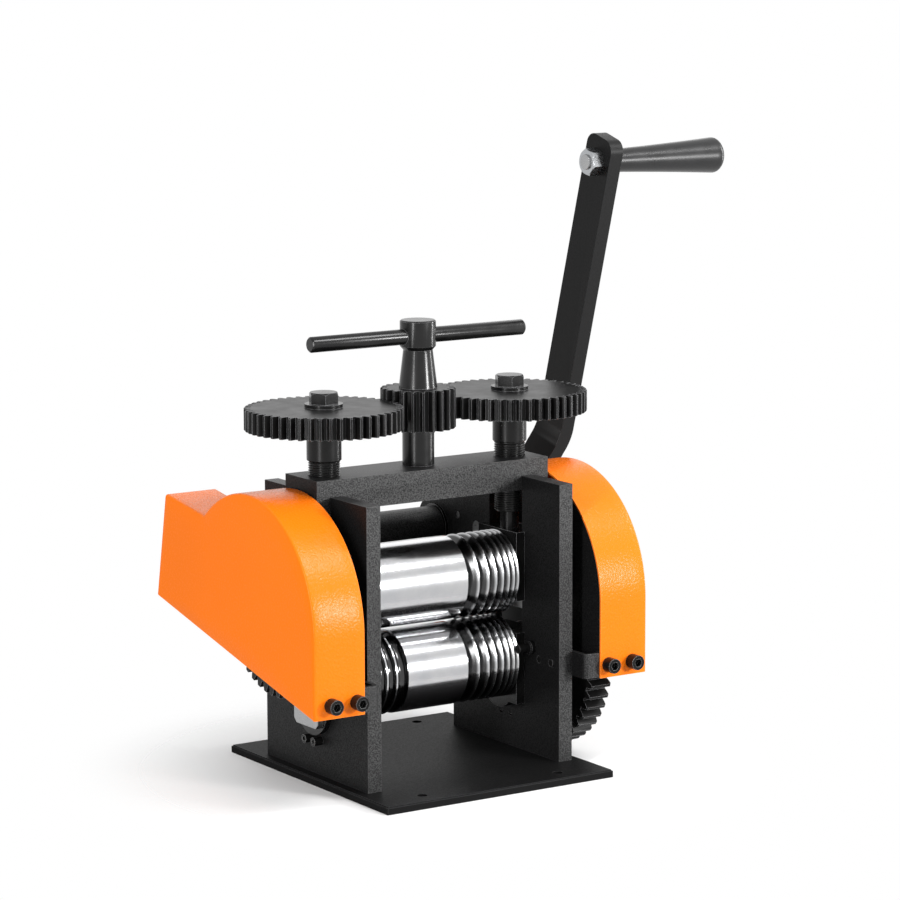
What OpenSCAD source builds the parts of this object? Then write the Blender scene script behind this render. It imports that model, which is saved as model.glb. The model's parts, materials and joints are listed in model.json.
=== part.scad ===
// Hand cranked jewellers rolling mill with a geared screw-down, grooved rolls and a gear train
// on each side. X runs along the rolls towards the crank, Y runs back and Z runs up.
// The origin is the middle of the base plate's underside.

/* [Base and side plates] */
// Base plate width along the rolls
base_w = 169; // [160:1:200]
// Base plate depth, front to back
base_d = 192; // [180:1:230]
// Base plate thickness
base_t = 5; // [4:0.5:10]
// Bench bolt hole diameter
bench_hole_d = 6.6; // [5:0.1:9]
// Bench bolt spacing along the rolls
bench_pitch_x = 102; // [80:1:116]
// Bench bolt spacing front to back
bench_pitch_y = 165; // [150:1:170]
// Clear width between the side plates
plate_gap = 134; // [126:1:150]
// Side plate thickness
plate_t = 10; // [8:0.5:12]
// Side plate reach in front of the roll axes
plate_front = 59; // [50:1:64]
// Side plate reach behind the roll axes
plate_back = 62; // [58:1:66]
// Side plate height above the base plate
plate_h = 180; // [172:1:186]
// Width of the slot that holds the bearing blocks
slot_w = 38; // [34:0.5:44]

/* [Rolls] */
// Roll diameter
roll_d = 54; // [48:1:58]
// Gap between the rolls as the mill stands
rest_gap = 2; // [1:0.5:3]
// How far the rolls open beyond the gap at rest
lift_more = 3; // [2:0.5:4]
// Lower roll axis above the base plate
lower_axis_h = 60; // [56:1:64]
// Journal diameter
journal_d = 25; // [20:1:27]
// Land between two square grooves
square_land = 0.4; // [0.2:0.1:0.6]
// Land between two half-round grooves
round_land = 1.1; // [0.6:0.1:1.4]
// Width of the wires that the square grooves roll, measured across the flats
square_sizes = [6, 5, 4, 3.5, 3, 2.5, 2];
// Width of the wires that the half-round grooves roll
round_sizes = [8, 6, 5, 4, 3, 2];

/* [Screw-down] */
// Distance of each adjusting screw from the middle
screw_x = 70; // [69:0.5:72]
// Thread diameter of the adjusting screws
screw_d = 20; // [16:1:20]
// Plain boss above the thread
screw_boss_d = 22; // [20:1:26]
// Height of the beam
beam_h = 20; // [16:1:24]
// How far the beam stands out beyond each side plate
beam_overhang = 10; // [8:0.5:11]
// Module of the screw gears and their pinion
screw_module = 2; // [1.8:0.1:2.1]
// Teeth on each screw gear
screw_gear_n = 48; // [44:2:50]
// Thickness of the screw gears
screw_gear_t = 14; // [10:1:16]
// Length of the tommy bar
tommy_l = 160; // [120:5:200]
// Diameter of the tommy bar
tommy_d = 10; // [8:0.5:12]

/* [Gear train] */
// Module of the drive gears
drive_module = 2.5; // [2.4:0.05:2.55]
// Teeth on each roll gear
roll_gear_n = 48; // [46:1:49]
// Teeth on the drive pinions and the idler
pinion_n = 20; // [18:1:21]
// Face width of the drive gears
gear_t = 15; // [12:0.5:16]
// Drive shaft diameter
shaft_d = 20; // [16:0.5:22]

/* [Crank] */
// Crank length, shaft to grip
crank_l = 255; // [200:5:280]
// Crank bar width
crank_w = 28; // [24:1:32]
// Crank bar thickness
crank_t = 10; // [8:0.5:12]
// How far the bar is bent outwards
crank_offset = 13.5; // [10:0.5:20]
// Lean of the crank towards the front as it stands
crank_lean = 16.3; // [0:0.1:30]
// Grip length
grip_l = 99; // [80:1:120]
// Grip diameter at its wide end
grip_big_d = 23.6; // [21:0.2:28]

/* [Covers] */
// Width of each gear cover along the rolls
cover_w = 36; // [35:0.5:40]
// Sheet thickness of the covers
cover_t = 1.2; // [1:0.1:1.5]
// Height of the cover's front lip above the bench
cover_low_z = 59; // [50:1:62]

/* [Hidden] */
$fn = 72;

// Clearances and the overrun that every cut shares
run_fit = 0.05;
slide_fit = 0.1;
face_gap = 0.3;
over = 1;
backlash = 0.12;
pressure_angle = 20;

// Heights and places of the main axes
plate_x = plate_gap / 2;
plate_out_x = plate_x + plate_t;
plate_top_z = base_t + plate_h;
lower_z = base_t + lower_axis_h;
upper_z = lower_z + roll_d + rest_gap;
beam_seat_h = 9;
beam_z = plate_top_z - beam_seat_h;
beam_top_z = beam_z + beam_h;
beam_end_x = plate_out_x + beam_overhang;
tab_slack = 1;
tab_gap = screw_d + 2 * tab_slack;
slot_drop = 15.4;
slot_low_z = lower_z - slot_drop;
slot_floor_h = slot_low_z - slot_w / 2;

// Bearing blocks
flange_t = 6.4;
flange_out = 3;
flange_x = plate_x - slide_fit - flange_t;
block_out = 4;
block_x = plate_out_x + block_out;
block_w = slot_w - 2 * slide_fit;
block_below = 17;
block_above = 28;
lower_flange_drop = 29;
lower_block_rise = 18;
bush_wall = 3;
bush_d = journal_d + 2 * bush_wall;
rim_t = 0.8;
rim_w = 4;
end_play = 0.1;
roll_half_l = flange_x - rim_t - end_play;
neck_d = 12;
neck_in = 11;
neck_groove_d = 8.4;
block_pin_d = 4;
block_pin_drop = 6.4;
end_plate_w = 29;
end_plate_h = 56;
end_plate_t = 4;
end_plate_chamfer = 3;
end_washer_t = 2;
end_washer_share = 0.85;
end_head_t = 3.4;

// Roll ends
seat_step = 1.5;
seat_d = journal_d - 2 * seat_step;
nut_thread_d = 16;
nut_washer_t = 2.5;
nut_t = 8;
nut_af = 24;
nut_washer_share = 1.28;
thread_proud = 1.5;
key_w = 6;
key_sink = 3;
key_rise = 2.6;
end_bolt_d = 8;

// Gear train. Each gear stands on the same plane, clear of the beam end.
gear_gap = 6;
gear_x = beam_end_x + gear_gap;
gear_out_x = gear_x + gear_t;
hub_d = 40;
pinion_hub_d = 32;
idler_hub_d = 24;
roll_pitch_r = roll_gear_n * drive_module / 2;
pinion_pitch_r = pinion_n * drive_module / 2;
roll_tip_r = roll_pitch_r + drive_module;
pinion_tip_r = pinion_pitch_r + drive_module;
centre_slack = 0.1;
mesh_dist = roll_pitch_r + pinion_pitch_r + centre_slack;
idle_dist = 2 * pinion_pitch_r + centre_slack;
// The shaft lies a little above the upper roll, so lifting that roll hardly changes the mesh
drive_rise = 15.5;
drive_z = upper_z + drive_rise;
drive_y = sqrt(mesh_dist * mesh_dist - (drive_rise - lift_more) * (drive_rise - lift_more));
// The idler stands at the third corner of a triangle on the lower roll and the drive shaft
span = sqrt(drive_y * drive_y + (drive_z - lower_z) * (drive_z - lower_z));
span_part = (mesh_dist * mesh_dist - idle_dist * idle_dist + span * span) / (2 * span);
span_rise = sqrt(mesh_dist * mesh_dist - span_part * span_part);
idler_y = (span_part * drive_y - span_rise * (drive_z - lower_z)) / span;
idler_z = lower_z + (span_part * (drive_z - lower_z) + span_rise * drive_y) / span;
idler_pin_d = 14;
idler_stud_d = 10;
idler_head_d = 22;
idler_head_t = 5;
web_in_share = 0.42;
web_out_share = 0.8;
web_sink = 3;

// Directions between the gear axes, and the turn that puts a space against each tooth
left_dir = atan2(drive_z - upper_z, drive_y);
idler_dir = atan2(idler_z - lower_z, idler_y);
shaft_dir = atan2(drive_z - idler_z, drive_y - idler_y);
idler_turn = idler_dir + 180 + 180 / pinion_n;
right_pinion_turn = shaft_dir + 180 + 180 / pinion_n - (idler_turn - shaft_dir);
left_pinion_turn = left_dir + 180 + 180 / pinion_n;

// Drive shaft and its arms
arm_thin = 1;
arm_t = plate_t - arm_thin;
arm_x = plate_x + (plate_t - arm_t) / 2;
arm_r = 22;
arm_tongue_t = 5;
arm_tongue_l = 10;
arm_pin_d = 5;
arm_pin_rise = 12;
arm_pin_short = 0.8;
shaft_bush_wall = 3;
shaft_bush_d = shaft_d + 2 * shaft_bush_wall;
bush_rim = 2.6;
bush_rim_t = 2;
tube_d = 28;
tube_slack = 0.8;
tube_bore_d = shaft_d + 2 * tube_slack;
cover_gap = 4.5;
cover_in_x = gear_x - cover_gap;
cover_out_x = cover_in_x + cover_w;
crank_gap = 2;
crank_x = cover_out_x + crank_gap;
shoulder_l = 0.4;
square_share = 0.68;
square_w = shaft_d * square_share;
crank_bolt_d = 8;
crank_washer_d = 26;
crank_washer_t = 2.5;
cap_head_share = 1.6;

// Crank arm and grip
crank_bend_low = 27;
crank_bend_high = 69;
crank_end = 17;
crank_corner_r = 8;
crank_out_x = crank_x + crank_offset;
grip_bolt_d = 10;
grip_nut_af = 16;
grip_nut_t = 8;
grip_stud_proud = 1.2;
grip_gap = 0.4;
grip_small_d = 14.8;
grip_round = 9;
grip_flat_d = 10;
grip_bore_wall = 14;
bead_d = 13;
bead_l = 4;
bead_back = 6;

// Screw-down
screw_pinion_n = round(2 * screw_x / screw_module) - screw_gear_n;
screw_centre = (screw_pinion_n + screw_gear_n) * screw_module / 2;
screw_slack = screw_x - screw_centre;
thread_top_h = 9.5;
screw_gear_h = 29;
screw_gear_z = beam_top_z + screw_gear_h;
spigot_d = 14;
spigot_short = 0.5;
gear_bolt_d = 10;
gear_bolt_af = 17;
gear_bolt_t = 7.2;
gear_washer_d = 24;
gear_washer_t = 2.4;
pinion_margin_low = 5;
pinion_margin_high = 7;
spindle_d = 20.4;
spindle_neck_d = 14;
spindle_gap = 0.3;
cone_top_d = 18.8;
cone_low_d = 24.6;
cone_h = 24;
head_d = 23;
head_h = 19;
head_taper_h = 2.4;
head_edge = 0.8;
tommy_edge = 1;
retainer_d = 22;
retainer_t = 2.5;
retainer_head_t = 4;
retainer_bolt_d = 6;
retainer_sink = 8;
retainer_depth_share = 0.8;

// Cover outline, as shares of the pinion's tip radius behind the drive shaft
tail_top_share = [0.873, 1.36];
tail_low_share = [1.33, -1.11];
cover_drop = 12.7;
cover_clear = 0.6;
cover_arc_z = upper_z - cover_drop;
cover_r = cover_drop + lift_more + roll_tip_r + cover_clear + cover_t;
valley_turn = 47;
shaft_hole_gap = 2;

// Cover brackets and small fasteners
bracket_t = 3;
bracket_z0 = cover_low_z + 0.5;
bracket_h = 17;
bracket_reach = 31;
bracket_tail_y = 30;
bracket_bend_r = 4;
cover_screw_d = 6;
cover_head_d = 9.6;
cover_head_h = 7.5;
cover_screw_l = 10;
cover_screw_pitch = 18.4;
cover_screw_h = 9.5;
cover_screw_in = 8;
bracket_screw_d = 5;
bracket_head_d = 8.5;
bracket_head_h = 3;
bracket_screw_pitch = 13;
bracket_screw_back = 8;
frame_screw_d = 6;
frame_screw_l = 16;
frame_head_d = 11;
frame_head_h = 2.6;
frame_screw_share = [-0.68, 0.02, 0.72];
beam_screw_d = 4;
beam_screw_l = 32;
beam_head_d = 7;
beam_head_h = 3.6;
beam_screw_in = 4.5;
beam_screw_drop = 3;
keeper_screw_d = 3.6;
keeper_head_d = 5.6;
keeper_head_h = 3;
keeper_pitch = 11;
keeper_drop = 4.2;
stud_d = 6;
stud_out = 11.5;
stud_collar_d = 9;
stud_collar_t = 3;
stud_front_share = 0.52;
stud_rise = 9.8;
base_edge = 0.8;

frame_black = "#2b2b2c";
oxide_black = "#202022";
cover_orange = "#f57a1f";
roll_steel = "#d2d4d6";
plain_steel = "#a2a4a6";
bronze = "#b98b4a";
zinc = "#c9ccce";
grip_black = "#262628";

// A frame whose local Z runs along +X, local X along +Y and local Y along +Z
module along_x(x, y, z) {
    translate([x, y, z]) rotate([90, 0, 90]) children();
}

// A rod along X between two places
module rod_x(x0, x1, y, z, d) {
    along_x(x0, y, z) cylinder(d = d, h = x1 - x0);
}

// A rod along Y between two places
module rod_y(y0, y1, x, z, d) {
    translate([x, y0, z]) rotate([-90, 0, 0]) cylinder(d = d, h = y1 - y0);
}

// A rod along Z between two heights
module rod_z(z0, z1, x, y, d) {
    translate([x, y, z0]) cylinder(d = d, h = z1 - z0);
}

// A block between two corners
module block(low, high) {
    translate(low) cube(high - low);
}

// The children as drawn for the right side, or mirrored for the left
module on_side(side) {
    if (side > 0) children();
    else mirror([1, 0, 0]) children();
}

// A hexagon bar along local Z, by its width across the flats
module hex(af, h) {
    cylinder(d = af / cos(30), h = h, $fn = 6);
}

// A socket cap head along local Z with its hexagon recess
module cap_head(d, h) {
    difference() {
        cylinder(d = d, h = h);
        translate([0, 0, h / 2]) hex(d / 2, h);
    }
}

// Roll angle of the involute at a radius, in degrees
function inv_at(r, rb) = r <= rb ? 0 : tan(acos(rb / r)) * 180 / PI - acos(rb / r);

// Half the angle of a tooth at a radius
function half_tooth(n, m, r) = let (rp = n * m / 2, rb = rp * cos(pressure_angle))
    (PI * m / 2 - backlash) / 2 / rp * 180 / PI + inv_at(rp, rb) - inv_at(r, rb);

// Radii at which the flank of a tooth has its points
function flank_radii(n, m) = let (
        rp = n * m / 2, rb = rp * cos(pressure_angle), rf = rp - 1.25 * m, ra = rp + m)
    rf < rb ? [rf, rb, (rb + ra) / 2, ra] : [rf, (rf + ra) / 2, ra];

// Outline of a spur gear with involute flanks, one tooth centred on the angle turn
module gear_outline(n, m, turn) {
    radii = flank_radii(n, m);
    last = len(radii) - 1;
    polygon([
        for (i = [0 : n - 1]) let (mid = turn + i * 360 / n)
            for (k = [0 : 2 * last + 1]) let (
                up = k <= last,
                r = up ? radii[k] : radii[2 * last + 1 - k],
                a = mid + (up ? -1 : 1) * half_tooth(n, m, r))
                r * [cos(a), sin(a)]
    ]);
}

// Base plate with its bench holes and the countersinks of the frame screws
module base_plate() color(frame_black) {
    difference() {
        union() {
            block([-base_w / 2, -base_d / 2, 0], [base_w / 2, base_d / 2, base_t - base_edge]);
            block([-base_w / 2 + base_edge, -base_d / 2 + base_edge, 0],
                [base_w / 2 - base_edge, base_d / 2 - base_edge, base_t]);
        }
        for (sx = [-1, 1], sy = [-1, 1])
            rod_z(-over, base_t + over, sx * bench_pitch_x / 2, sy * bench_pitch_y / 2, bench_hole_d);
        at_frame_screws() {
            rod_z(-over, base_t + over, 0, 0, frame_screw_d);
            rod_z(-over, frame_head_h, 0, 0, frame_head_d);
        }
    }
}

// Places of the screws that rise through the base into the side plates
module at_frame_screws() {
    for (sx = [-1, 1], share = frame_screw_share)
        translate([sx * (plate_x + plate_t / 2), share * plate_front, 0]) children();
}

// Screws that hold the side plates to the base
module frame_screws() color(oxide_black) at_frame_screws() difference() {
    union() {
        rod_z(face_gap, frame_head_h, 0, 0, frame_head_d - 2 * slide_fit);
        rod_z(face_gap, base_t + frame_screw_l, 0, 0, frame_screw_d);
    }
    translate([0, 0, -over]) hex(frame_screw_d * 2 / 3, over + frame_head_h * 2 / 3);
}

// Places of the screws through the beam end and the slot's tabs
module at_beam_screws() {
    for (sy = [-1, 1])
        along_x(beam_end_x, sy * (slot_w / 2 - beam_screw_in), plate_top_z - beam_screw_drop)
            children();
}

// Right hand side plate, without what only one side has
module side_plate() {
    difference() {
        block([plate_x, -plate_front, base_t], [plate_out_x, plate_back, plate_top_z]);
        rod_x(plate_x - over, plate_out_x + over, 0, slot_low_z, slot_w);
        block([plate_x - over, -slot_w / 2, slot_low_z], [plate_out_x + over, slot_w / 2, beam_z]);
        block([plate_x - over, -tab_gap / 2, beam_z - over],
            [plate_out_x + over, tab_gap / 2, plate_top_z + over]);
        at_beam_screws() translate([0, 0, -beam_screw_l]) cylinder(d = beam_screw_d, h = beam_screw_l);
        block([arm_x + (arm_t - arm_tongue_t) / 2, plate_back - arm_tongue_l, drive_z - arm_r],
            [arm_x + (arm_t + arm_tongue_t) / 2, plate_back + over, drive_z + arm_r]);
        at_arm_pins() cylinder(d = arm_pin_d, h = plate_t + 2 * over);
        at_keeper_screws() cylinder(d = keeper_screw_d, h = plate_t + 2 * over);
        at_bracket_screws() cylinder(d = bracket_screw_d, h = plate_t + 2 * over);
        at_guide_stud() cylinder(d = stud_d, h = plate_t + 2 * over);
        at_frame_screws() rod_z(0, base_t + frame_screw_l, 0, 0, frame_screw_d);
    }
}

// Hole places on the side plate, each starting inside its inner face
module at_arm_pins() {
    for (s = [-1, 1])
        along_x(plate_x - over, plate_back - arm_tongue_l / 2, drive_z + s * arm_pin_rise) children();
}
module at_keeper_screws() {
    for (s = [-1, 1])
        along_x(plate_x - over, s * keeper_pitch / 2, slot_floor_h - keeper_drop) children();
}
module at_bracket_screws() {
    for (k = [0, 1])
        along_x(plate_x - over, -bracket_tail_y - bracket_screw_back - k * bracket_screw_pitch,
            bracket_z0 + bracket_h / 2) children();
}
module at_guide_stud() {
    along_x(plate_x - over, -plate_front * stud_front_share, lower_z + stud_rise) children();
}

module left_side_plate() color(frame_black) on_side(-1) side_plate();

module right_side_plate() color(frame_black) difference() {
    side_plate();
    rod_x(plate_x - over, plate_out_x + over, idler_y, idler_z, idler_stud_d);
}

// Top beam: it drops between the legs of both side plates and its notches sit on their tabs
module top_beam() color(frame_black) difference() {
    block([-beam_end_x, -slot_w / 2, beam_z], [beam_end_x, slot_w / 2, beam_top_z]);
    for (side = [-1, 1]) on_side(side) {
        for (sy = [-1, 1]) translate([0, sy * (tab_gap / 2 - slide_fit + slot_w / 2), 0])
            block([plate_x - slide_fit, -slot_w / 2, beam_z - over],
                [plate_out_x + slide_fit, slot_w / 2, plate_top_z]);
        rod_z(beam_z - over, beam_top_z + over, screw_x, 0, screw_d + 2 * run_fit);
        at_beam_screws() {
            translate([0, 0, -beam_screw_l]) cylinder(d = beam_screw_d, h = beam_screw_l);
            translate([0, 0, -beam_head_h]) cylinder(d = beam_head_d + 2 * slide_fit,
                h = beam_head_h + over);
        }
    }
    rod_z(beam_z - over, beam_top_z + over, 0, 0, spindle_neck_d + 2 * run_fit);
    rod_z(beam_z - over, beam_z + retainer_sink, 0, 0, retainer_d + 2 * face_gap);
}

// Screws that lock the beam to the tabs
module beam_screws() color(oxide_black)
    for (side = [-1, 1]) on_side(side) at_beam_screws() {
        translate([0, 0, -beam_head_h]) cap_head(beam_head_d, beam_head_h);
        translate([0, 0, -beam_screw_l]) cylinder(d = beam_screw_d, h = beam_screw_l - beam_head_h);
    }

// Arm that carries the drive shaft behind a side plate, on a pinned tongue
module shaft_arm() {
    difference() {
        union() {
            block([arm_x, plate_back, drive_z - arm_r], [arm_x + arm_t, drive_y, drive_z + arm_r]);
            rod_x(arm_x, arm_x + arm_t, drive_y, drive_z, 2 * arm_r);
            block([arm_x + (arm_t - arm_tongue_t) / 2, plate_back - arm_tongue_l, drive_z - arm_r],
                [arm_x + (arm_t + arm_tongue_t) / 2, drive_y, drive_z + arm_r]);
        }
        rod_x(arm_x - over, arm_x + arm_t + over, drive_y, drive_z, shaft_bush_d);
        at_arm_pins() cylinder(d = arm_pin_d, h = plate_t + 2 * over);
    }
}
module left_shaft_arm() color(frame_black) on_side(-1) shaft_arm();
module right_shaft_arm() color(frame_black) shaft_arm();

// Dowels through the side plates and the tongues of the arms
module arm_pins() color(plain_steel) for (side = [-1, 1]) on_side(side) at_arm_pins()
    translate([0, 0, over + arm_pin_short]) cylinder(d = arm_pin_d, h = plate_t - 2 * arm_pin_short);

// Tube that keeps the two arms apart around the drive shaft
module spacer_tube() color(frame_black) difference() {
    rod_x(-arm_x + bush_rim_t, arm_x - bush_rim_t, drive_y, drive_z, tube_d);
    rod_x(-plate_x, plate_x, drive_y, drive_z, tube_bore_d);
}

// Rimmed bushes of the drive shaft
module shaft_bushes() color(bronze) for (side = [-1, 1]) on_side(side) difference() {
    union() {
        rod_x(arm_x - bush_rim_t, arm_x, drive_y, drive_z, shaft_bush_d + 2 * bush_rim);
        rod_x(arm_x, arm_x + arm_t, drive_y, drive_z, shaft_bush_d);
    }
    rod_x(arm_x - bush_rim_t - over, arm_x + arm_t + over, drive_y, drive_z, shaft_d + 2 * run_fit);
}

// Lower bearing block: its round foot stands in the slot and its flange laps the plate inside
module lower_block() {
    difference() {
        union() {
            rod_x(flange_x, block_x, 0, slot_low_z, block_w);
            block([flange_x, -block_w / 2, slot_low_z], [block_x, block_w / 2, lower_z + lower_block_rise]);
            block([flange_x, -slot_w / 2 - flange_out, lower_z - lower_flange_drop],
                [flange_x + flange_t, slot_w / 2 + flange_out, lower_z + lower_block_rise]);
        }
        rod_x(flange_x - over, block_x + over, 0, lower_z, bush_d);
    }
}
module lower_left_block() color(plain_steel) on_side(-1) lower_block();
module lower_right_block() color(plain_steel) lower_block();

// Rimmed bush for one journal, drawn for the right side. The rim takes the roll's end thrust.
module roll_bush(z) difference() {
    union() {
        rod_x(flange_x - rim_t, flange_x, 0, z, bush_d + 2 * rim_w);
        rod_x(flange_x, block_x, 0, z, bush_d);
    }
    rod_x(flange_x - rim_t - over, block_x + over, 0, z, journal_d + 2 * run_fit);
}
module lower_bushes() color(bronze) for (side = [-1, 1]) on_side(side) roll_bush(lower_z);
module upper_bushes() color(bronze) for (side = [-1, 1]) on_side(side) roll_bush(upper_z);

// Plate that closes the bearing at the end of a roll that has no gear
module end_plate(z) difference() {
    along_x(block_x, 0, z) linear_extrude(end_plate_t) polygon([
        for (c = [[1, 1], [-1, 1], [-1, -1], [1, -1]]) let (cut = c[0] * c[1] > 0 ? [1, 0] : [0, 1])
            for (k = [cut, [1, 1] - cut])
                [c[0] * (end_plate_w / 2 - k[1] * end_plate_chamfer),
                c[1] * (end_plate_h / 2 - k[0] * end_plate_chamfer)]
    ]);
    rod_x(block_x - over, block_x + end_plate_t + over, 0, z, seat_d + 2 * face_gap);
}
module lower_end_plate() color(plain_steel) on_side(-1) end_plate(lower_z);
module upper_end_plate() color(plain_steel) end_plate(upper_z);

// Upper bearing block, which hangs on the neck of its adjusting screw
module upper_block() {
    block_top = upper_z + block_above;
    difference() {
        union() {
            block([flange_x, -block_w / 2, upper_z - block_below], [block_x, block_w / 2, block_top]);
            block([flange_x, -slot_w / 2 - flange_out, upper_z - block_below],
                [flange_x + flange_t, slot_w / 2 + flange_out, block_top]);
        }
        rod_x(flange_x - over, block_x + over, 0, upper_z, bush_d + 2 * run_fit);
        rod_z(block_top - neck_in, block_top + over, screw_x, 0, neck_d + 2 * run_fit);
        at_block_pins() cylinder(d = block_pin_d, h = slot_w + 2 * over);
    }
}
module upper_left_block() color(plain_steel) on_side(-1) upper_block();
module upper_right_block() color(plain_steel) upper_block();

// Places of the pins that lie in the groove of the screw's neck
module at_block_pins() {
    for (s = [-1, 1])
        translate([screw_x + s * (neck_groove_d / 2 + block_pin_d / 2 + slide_fit),
            -slot_w / 2 - over, upper_z + block_above - block_pin_drop])
            rotate([-90, 0, 0]) children();
}
module block_pins() color(plain_steel) for (side = [-1, 1]) on_side(side) at_block_pins()
    translate([0, 0, over + slide_fit + face_gap]) cylinder(d = block_pin_d, h = block_w - 2 * face_gap);

// Half width of each square groove and each half-round groove
function square_half(i) = square_sizes[i] / sqrt(2);
function round_half(i) = round_sizes[i] / 2;

// Sum of the first n values of a list
function sum_to(v, n) = n == 0 ? 0 : v[n - 1] + sum_to(v, n - 1);

// Profile points of the square grooves, from the roll's right end inwards
function square_profile(r, end) = [
    for (j = [0 : len(square_sizes) - 1]) let (
        i = len(square_sizes) - 1 - j,
        small = [for (k = [i : len(square_sizes) - 1]) square_sizes[k] * sqrt(2)],
        start = end - square_land - (sum_to(small, len(small)) - small[0])
            - j * square_land)
        for (p = [[0, 0], [square_half(i), -square_half(i)], [2 * square_half(i), 0]])
            [r + p[1], start - p[0]]
];

// Profile points of the half-round grooves, from the plain middle out to the left end
arc_steps = 6;
function round_profile(r, end) = [
    for (i = [0 : len(round_sizes) - 1]) let (
        outer = [for (k = [i : len(round_sizes) - 1]) round_sizes[k]],
        start = -end + round_land + sum_to(outer, len(outer)) + (len(outer) - 1) * round_land,
        mid = start - round_half(i))
        for (s = [0 : arc_steps]) let (a = s * 180 / arc_steps)
            [r - round_half(i) * sin(a), mid + round_half(i) * cos(a)]
];

// Roll body with its journals, as one turned piece. Grooves are cut on the right end,
// and on the left end too where rounds is true. gear_side is the end with the gear seat.
module turned_roll(z, rounds, gear_side) {
    r = roll_d / 2;
    end = roll_half_l;
    plain_x = block_x + end_plate_t + face_gap;
    gear_end = gear_out_x + nut_washer_t + nut_t + thread_proud;
    difference() {
        along_x(0, 0, z) rotate_extrude() polygon(concat(
            [[0, end], [r, end]],
            square_profile(r, end),
            rounds ? round_profile(r, end) : [],
            [[r, -end], [0, -end]]));
        at_key(z, gear_side) key_solid(0);
    }
    for (side = [-1, 1]) on_side(side) rod_x(end, block_x, 0, z, journal_d);
    on_side(-gear_side) difference() {
        rod_x(block_x, plain_x, 0, z, seat_d);
        rod_x(block_x, plain_x + over, 0, z, end_bolt_d);
    }
    difference() {
        on_side(gear_side) {
            rod_x(block_x, gear_out_x, 0, z, seat_d);
            rod_x(gear_out_x, gear_end, 0, z, nut_thread_d);
        }
        at_key(z, gear_side) key_solid(0);
    }
}

// Place of a roll gear's key, on top of its seat
module at_key(z, side) {
    on_side(side) translate([gear_x, 0, z + seat_d / 2]) children();
}
module key_solid(gap)
    block([-gap, -key_w / 2 - gap, -key_sink], [gear_t + gap, key_w / 2 + gap, key_rise]);

module lower_roll() color(roll_steel) turned_roll(lower_z, true, 1);
module upper_roll() color(roll_steel) turned_roll(upper_z, false, -1);

module lower_gear_key() color(plain_steel) at_key(lower_z, 1) key_solid(0);
module upper_gear_key() color(plain_steel) at_key(upper_z, -1) key_solid(0);

// Roll gear with its hub, as it stands on the right side
module roll_gear(z, turn) difference() {
    union() {
        along_x(gear_x, 0, z) linear_extrude(gear_t) gear_outline(roll_gear_n, drive_module, turn);
        rod_x(block_x + face_gap, gear_x, 0, z, hub_d);
    }
    rod_x(block_x, gear_out_x + over, 0, z, seat_d);
    along_x(gear_out_x - web_sink, 0, z) difference() {
        cylinder(r = roll_pitch_r * web_out_share, h = web_sink + over);
        translate([0, 0, -over]) cylinder(r = roll_pitch_r * web_in_share, h = web_sink + 3 * over);
    }
    translate([gear_x, 0, z + seat_d / 2]) block([-over - gear_x + block_x, -key_w / 2, -key_sink],
        [gear_t + over, key_w / 2, key_rise]);
}
module lower_roll_gear() color(oxide_black) roll_gear(lower_z, idler_dir);
module upper_roll_gear() color(oxide_black) on_side(-1) roll_gear(upper_z, left_dir);

// Washer and nut on the threaded end of a shaft
module end_nut(y, z) difference() {
    union() {
        rod_x(gear_out_x, gear_out_x + nut_washer_t, y, z, nut_af * nut_washer_share);
        along_x(gear_out_x + nut_washer_t, y, z) hex(nut_af, nut_t);
    }
    rod_x(gear_out_x - over, gear_out_x + nut_washer_t + nut_t + over, y, z, nut_thread_d);
}
module lower_gear_nut() color(zinc) end_nut(0, lower_z);
module upper_gear_nut() color(zinc) on_side(-1) end_nut(0, upper_z);

// Screw and washer on the end of a roll that has no gear
module end_screw(z) {
    x0 = block_x + end_plate_t + face_gap;
    rod_x(x0, x0 + end_washer_t, 0, z, end_plate_w * end_washer_share);
    along_x(x0 + end_washer_t, 0, z) cap_head(end_bolt_d * 2, end_head_t);
    rod_x(block_x, x0, 0, z, end_bolt_d);
}
module lower_end_screw() color(oxide_black) on_side(-1) end_screw(lower_z);
module upper_end_screw() color(oxide_black) end_screw(upper_z);

// Small cap screws below the lower bearing blocks
module keeper_screws() color(oxide_black) for (side = [-1, 1]) on_side(side) at_keeper_screws() {
    translate([0, 0, over + face_gap]) cylinder(d = keeper_screw_d, h = plate_t - face_gap);
    translate([0, 0, over + plate_t]) cap_head(keeper_head_d, keeper_head_h);
}

// Studs with a collar inside the front legs
module guide_studs() color(oxide_black) for (side = [-1, 1]) on_side(side) at_guide_stud() {
    translate([0, 0, over]) cylinder(d = stud_d, h = plate_t);
    translate([0, 0, over - stud_collar_t]) cylinder(d = stud_collar_d, h = stud_collar_t);
    translate([0, 0, over - stud_out]) cylinder(d = stud_d, h = stud_out - stud_collar_t);
}

// Shouldered bolt that the idler turns on
module idler_bolt() color(plain_steel) {
    rod_x(plate_x + face_gap, plate_out_x, idler_y, idler_z, idler_stud_d);
    rod_x(plate_out_x, gear_out_x + face_gap, idler_y, idler_z, idler_pin_d);
    along_x(gear_out_x + face_gap, idler_y, idler_z) cap_head(idler_head_d, idler_head_t);
}
module idler_gear() color(oxide_black) difference() {
    union() {
        along_x(gear_x, idler_y, idler_z) linear_extrude(gear_t)
            gear_outline(pinion_n, drive_module, idler_turn);
        rod_x(plate_out_x + face_gap, gear_x, idler_y, idler_z, idler_hub_d);
    }
    rod_x(plate_out_x, gear_out_x + over, idler_y, idler_z, idler_pin_d + 2 * run_fit);
}

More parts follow.
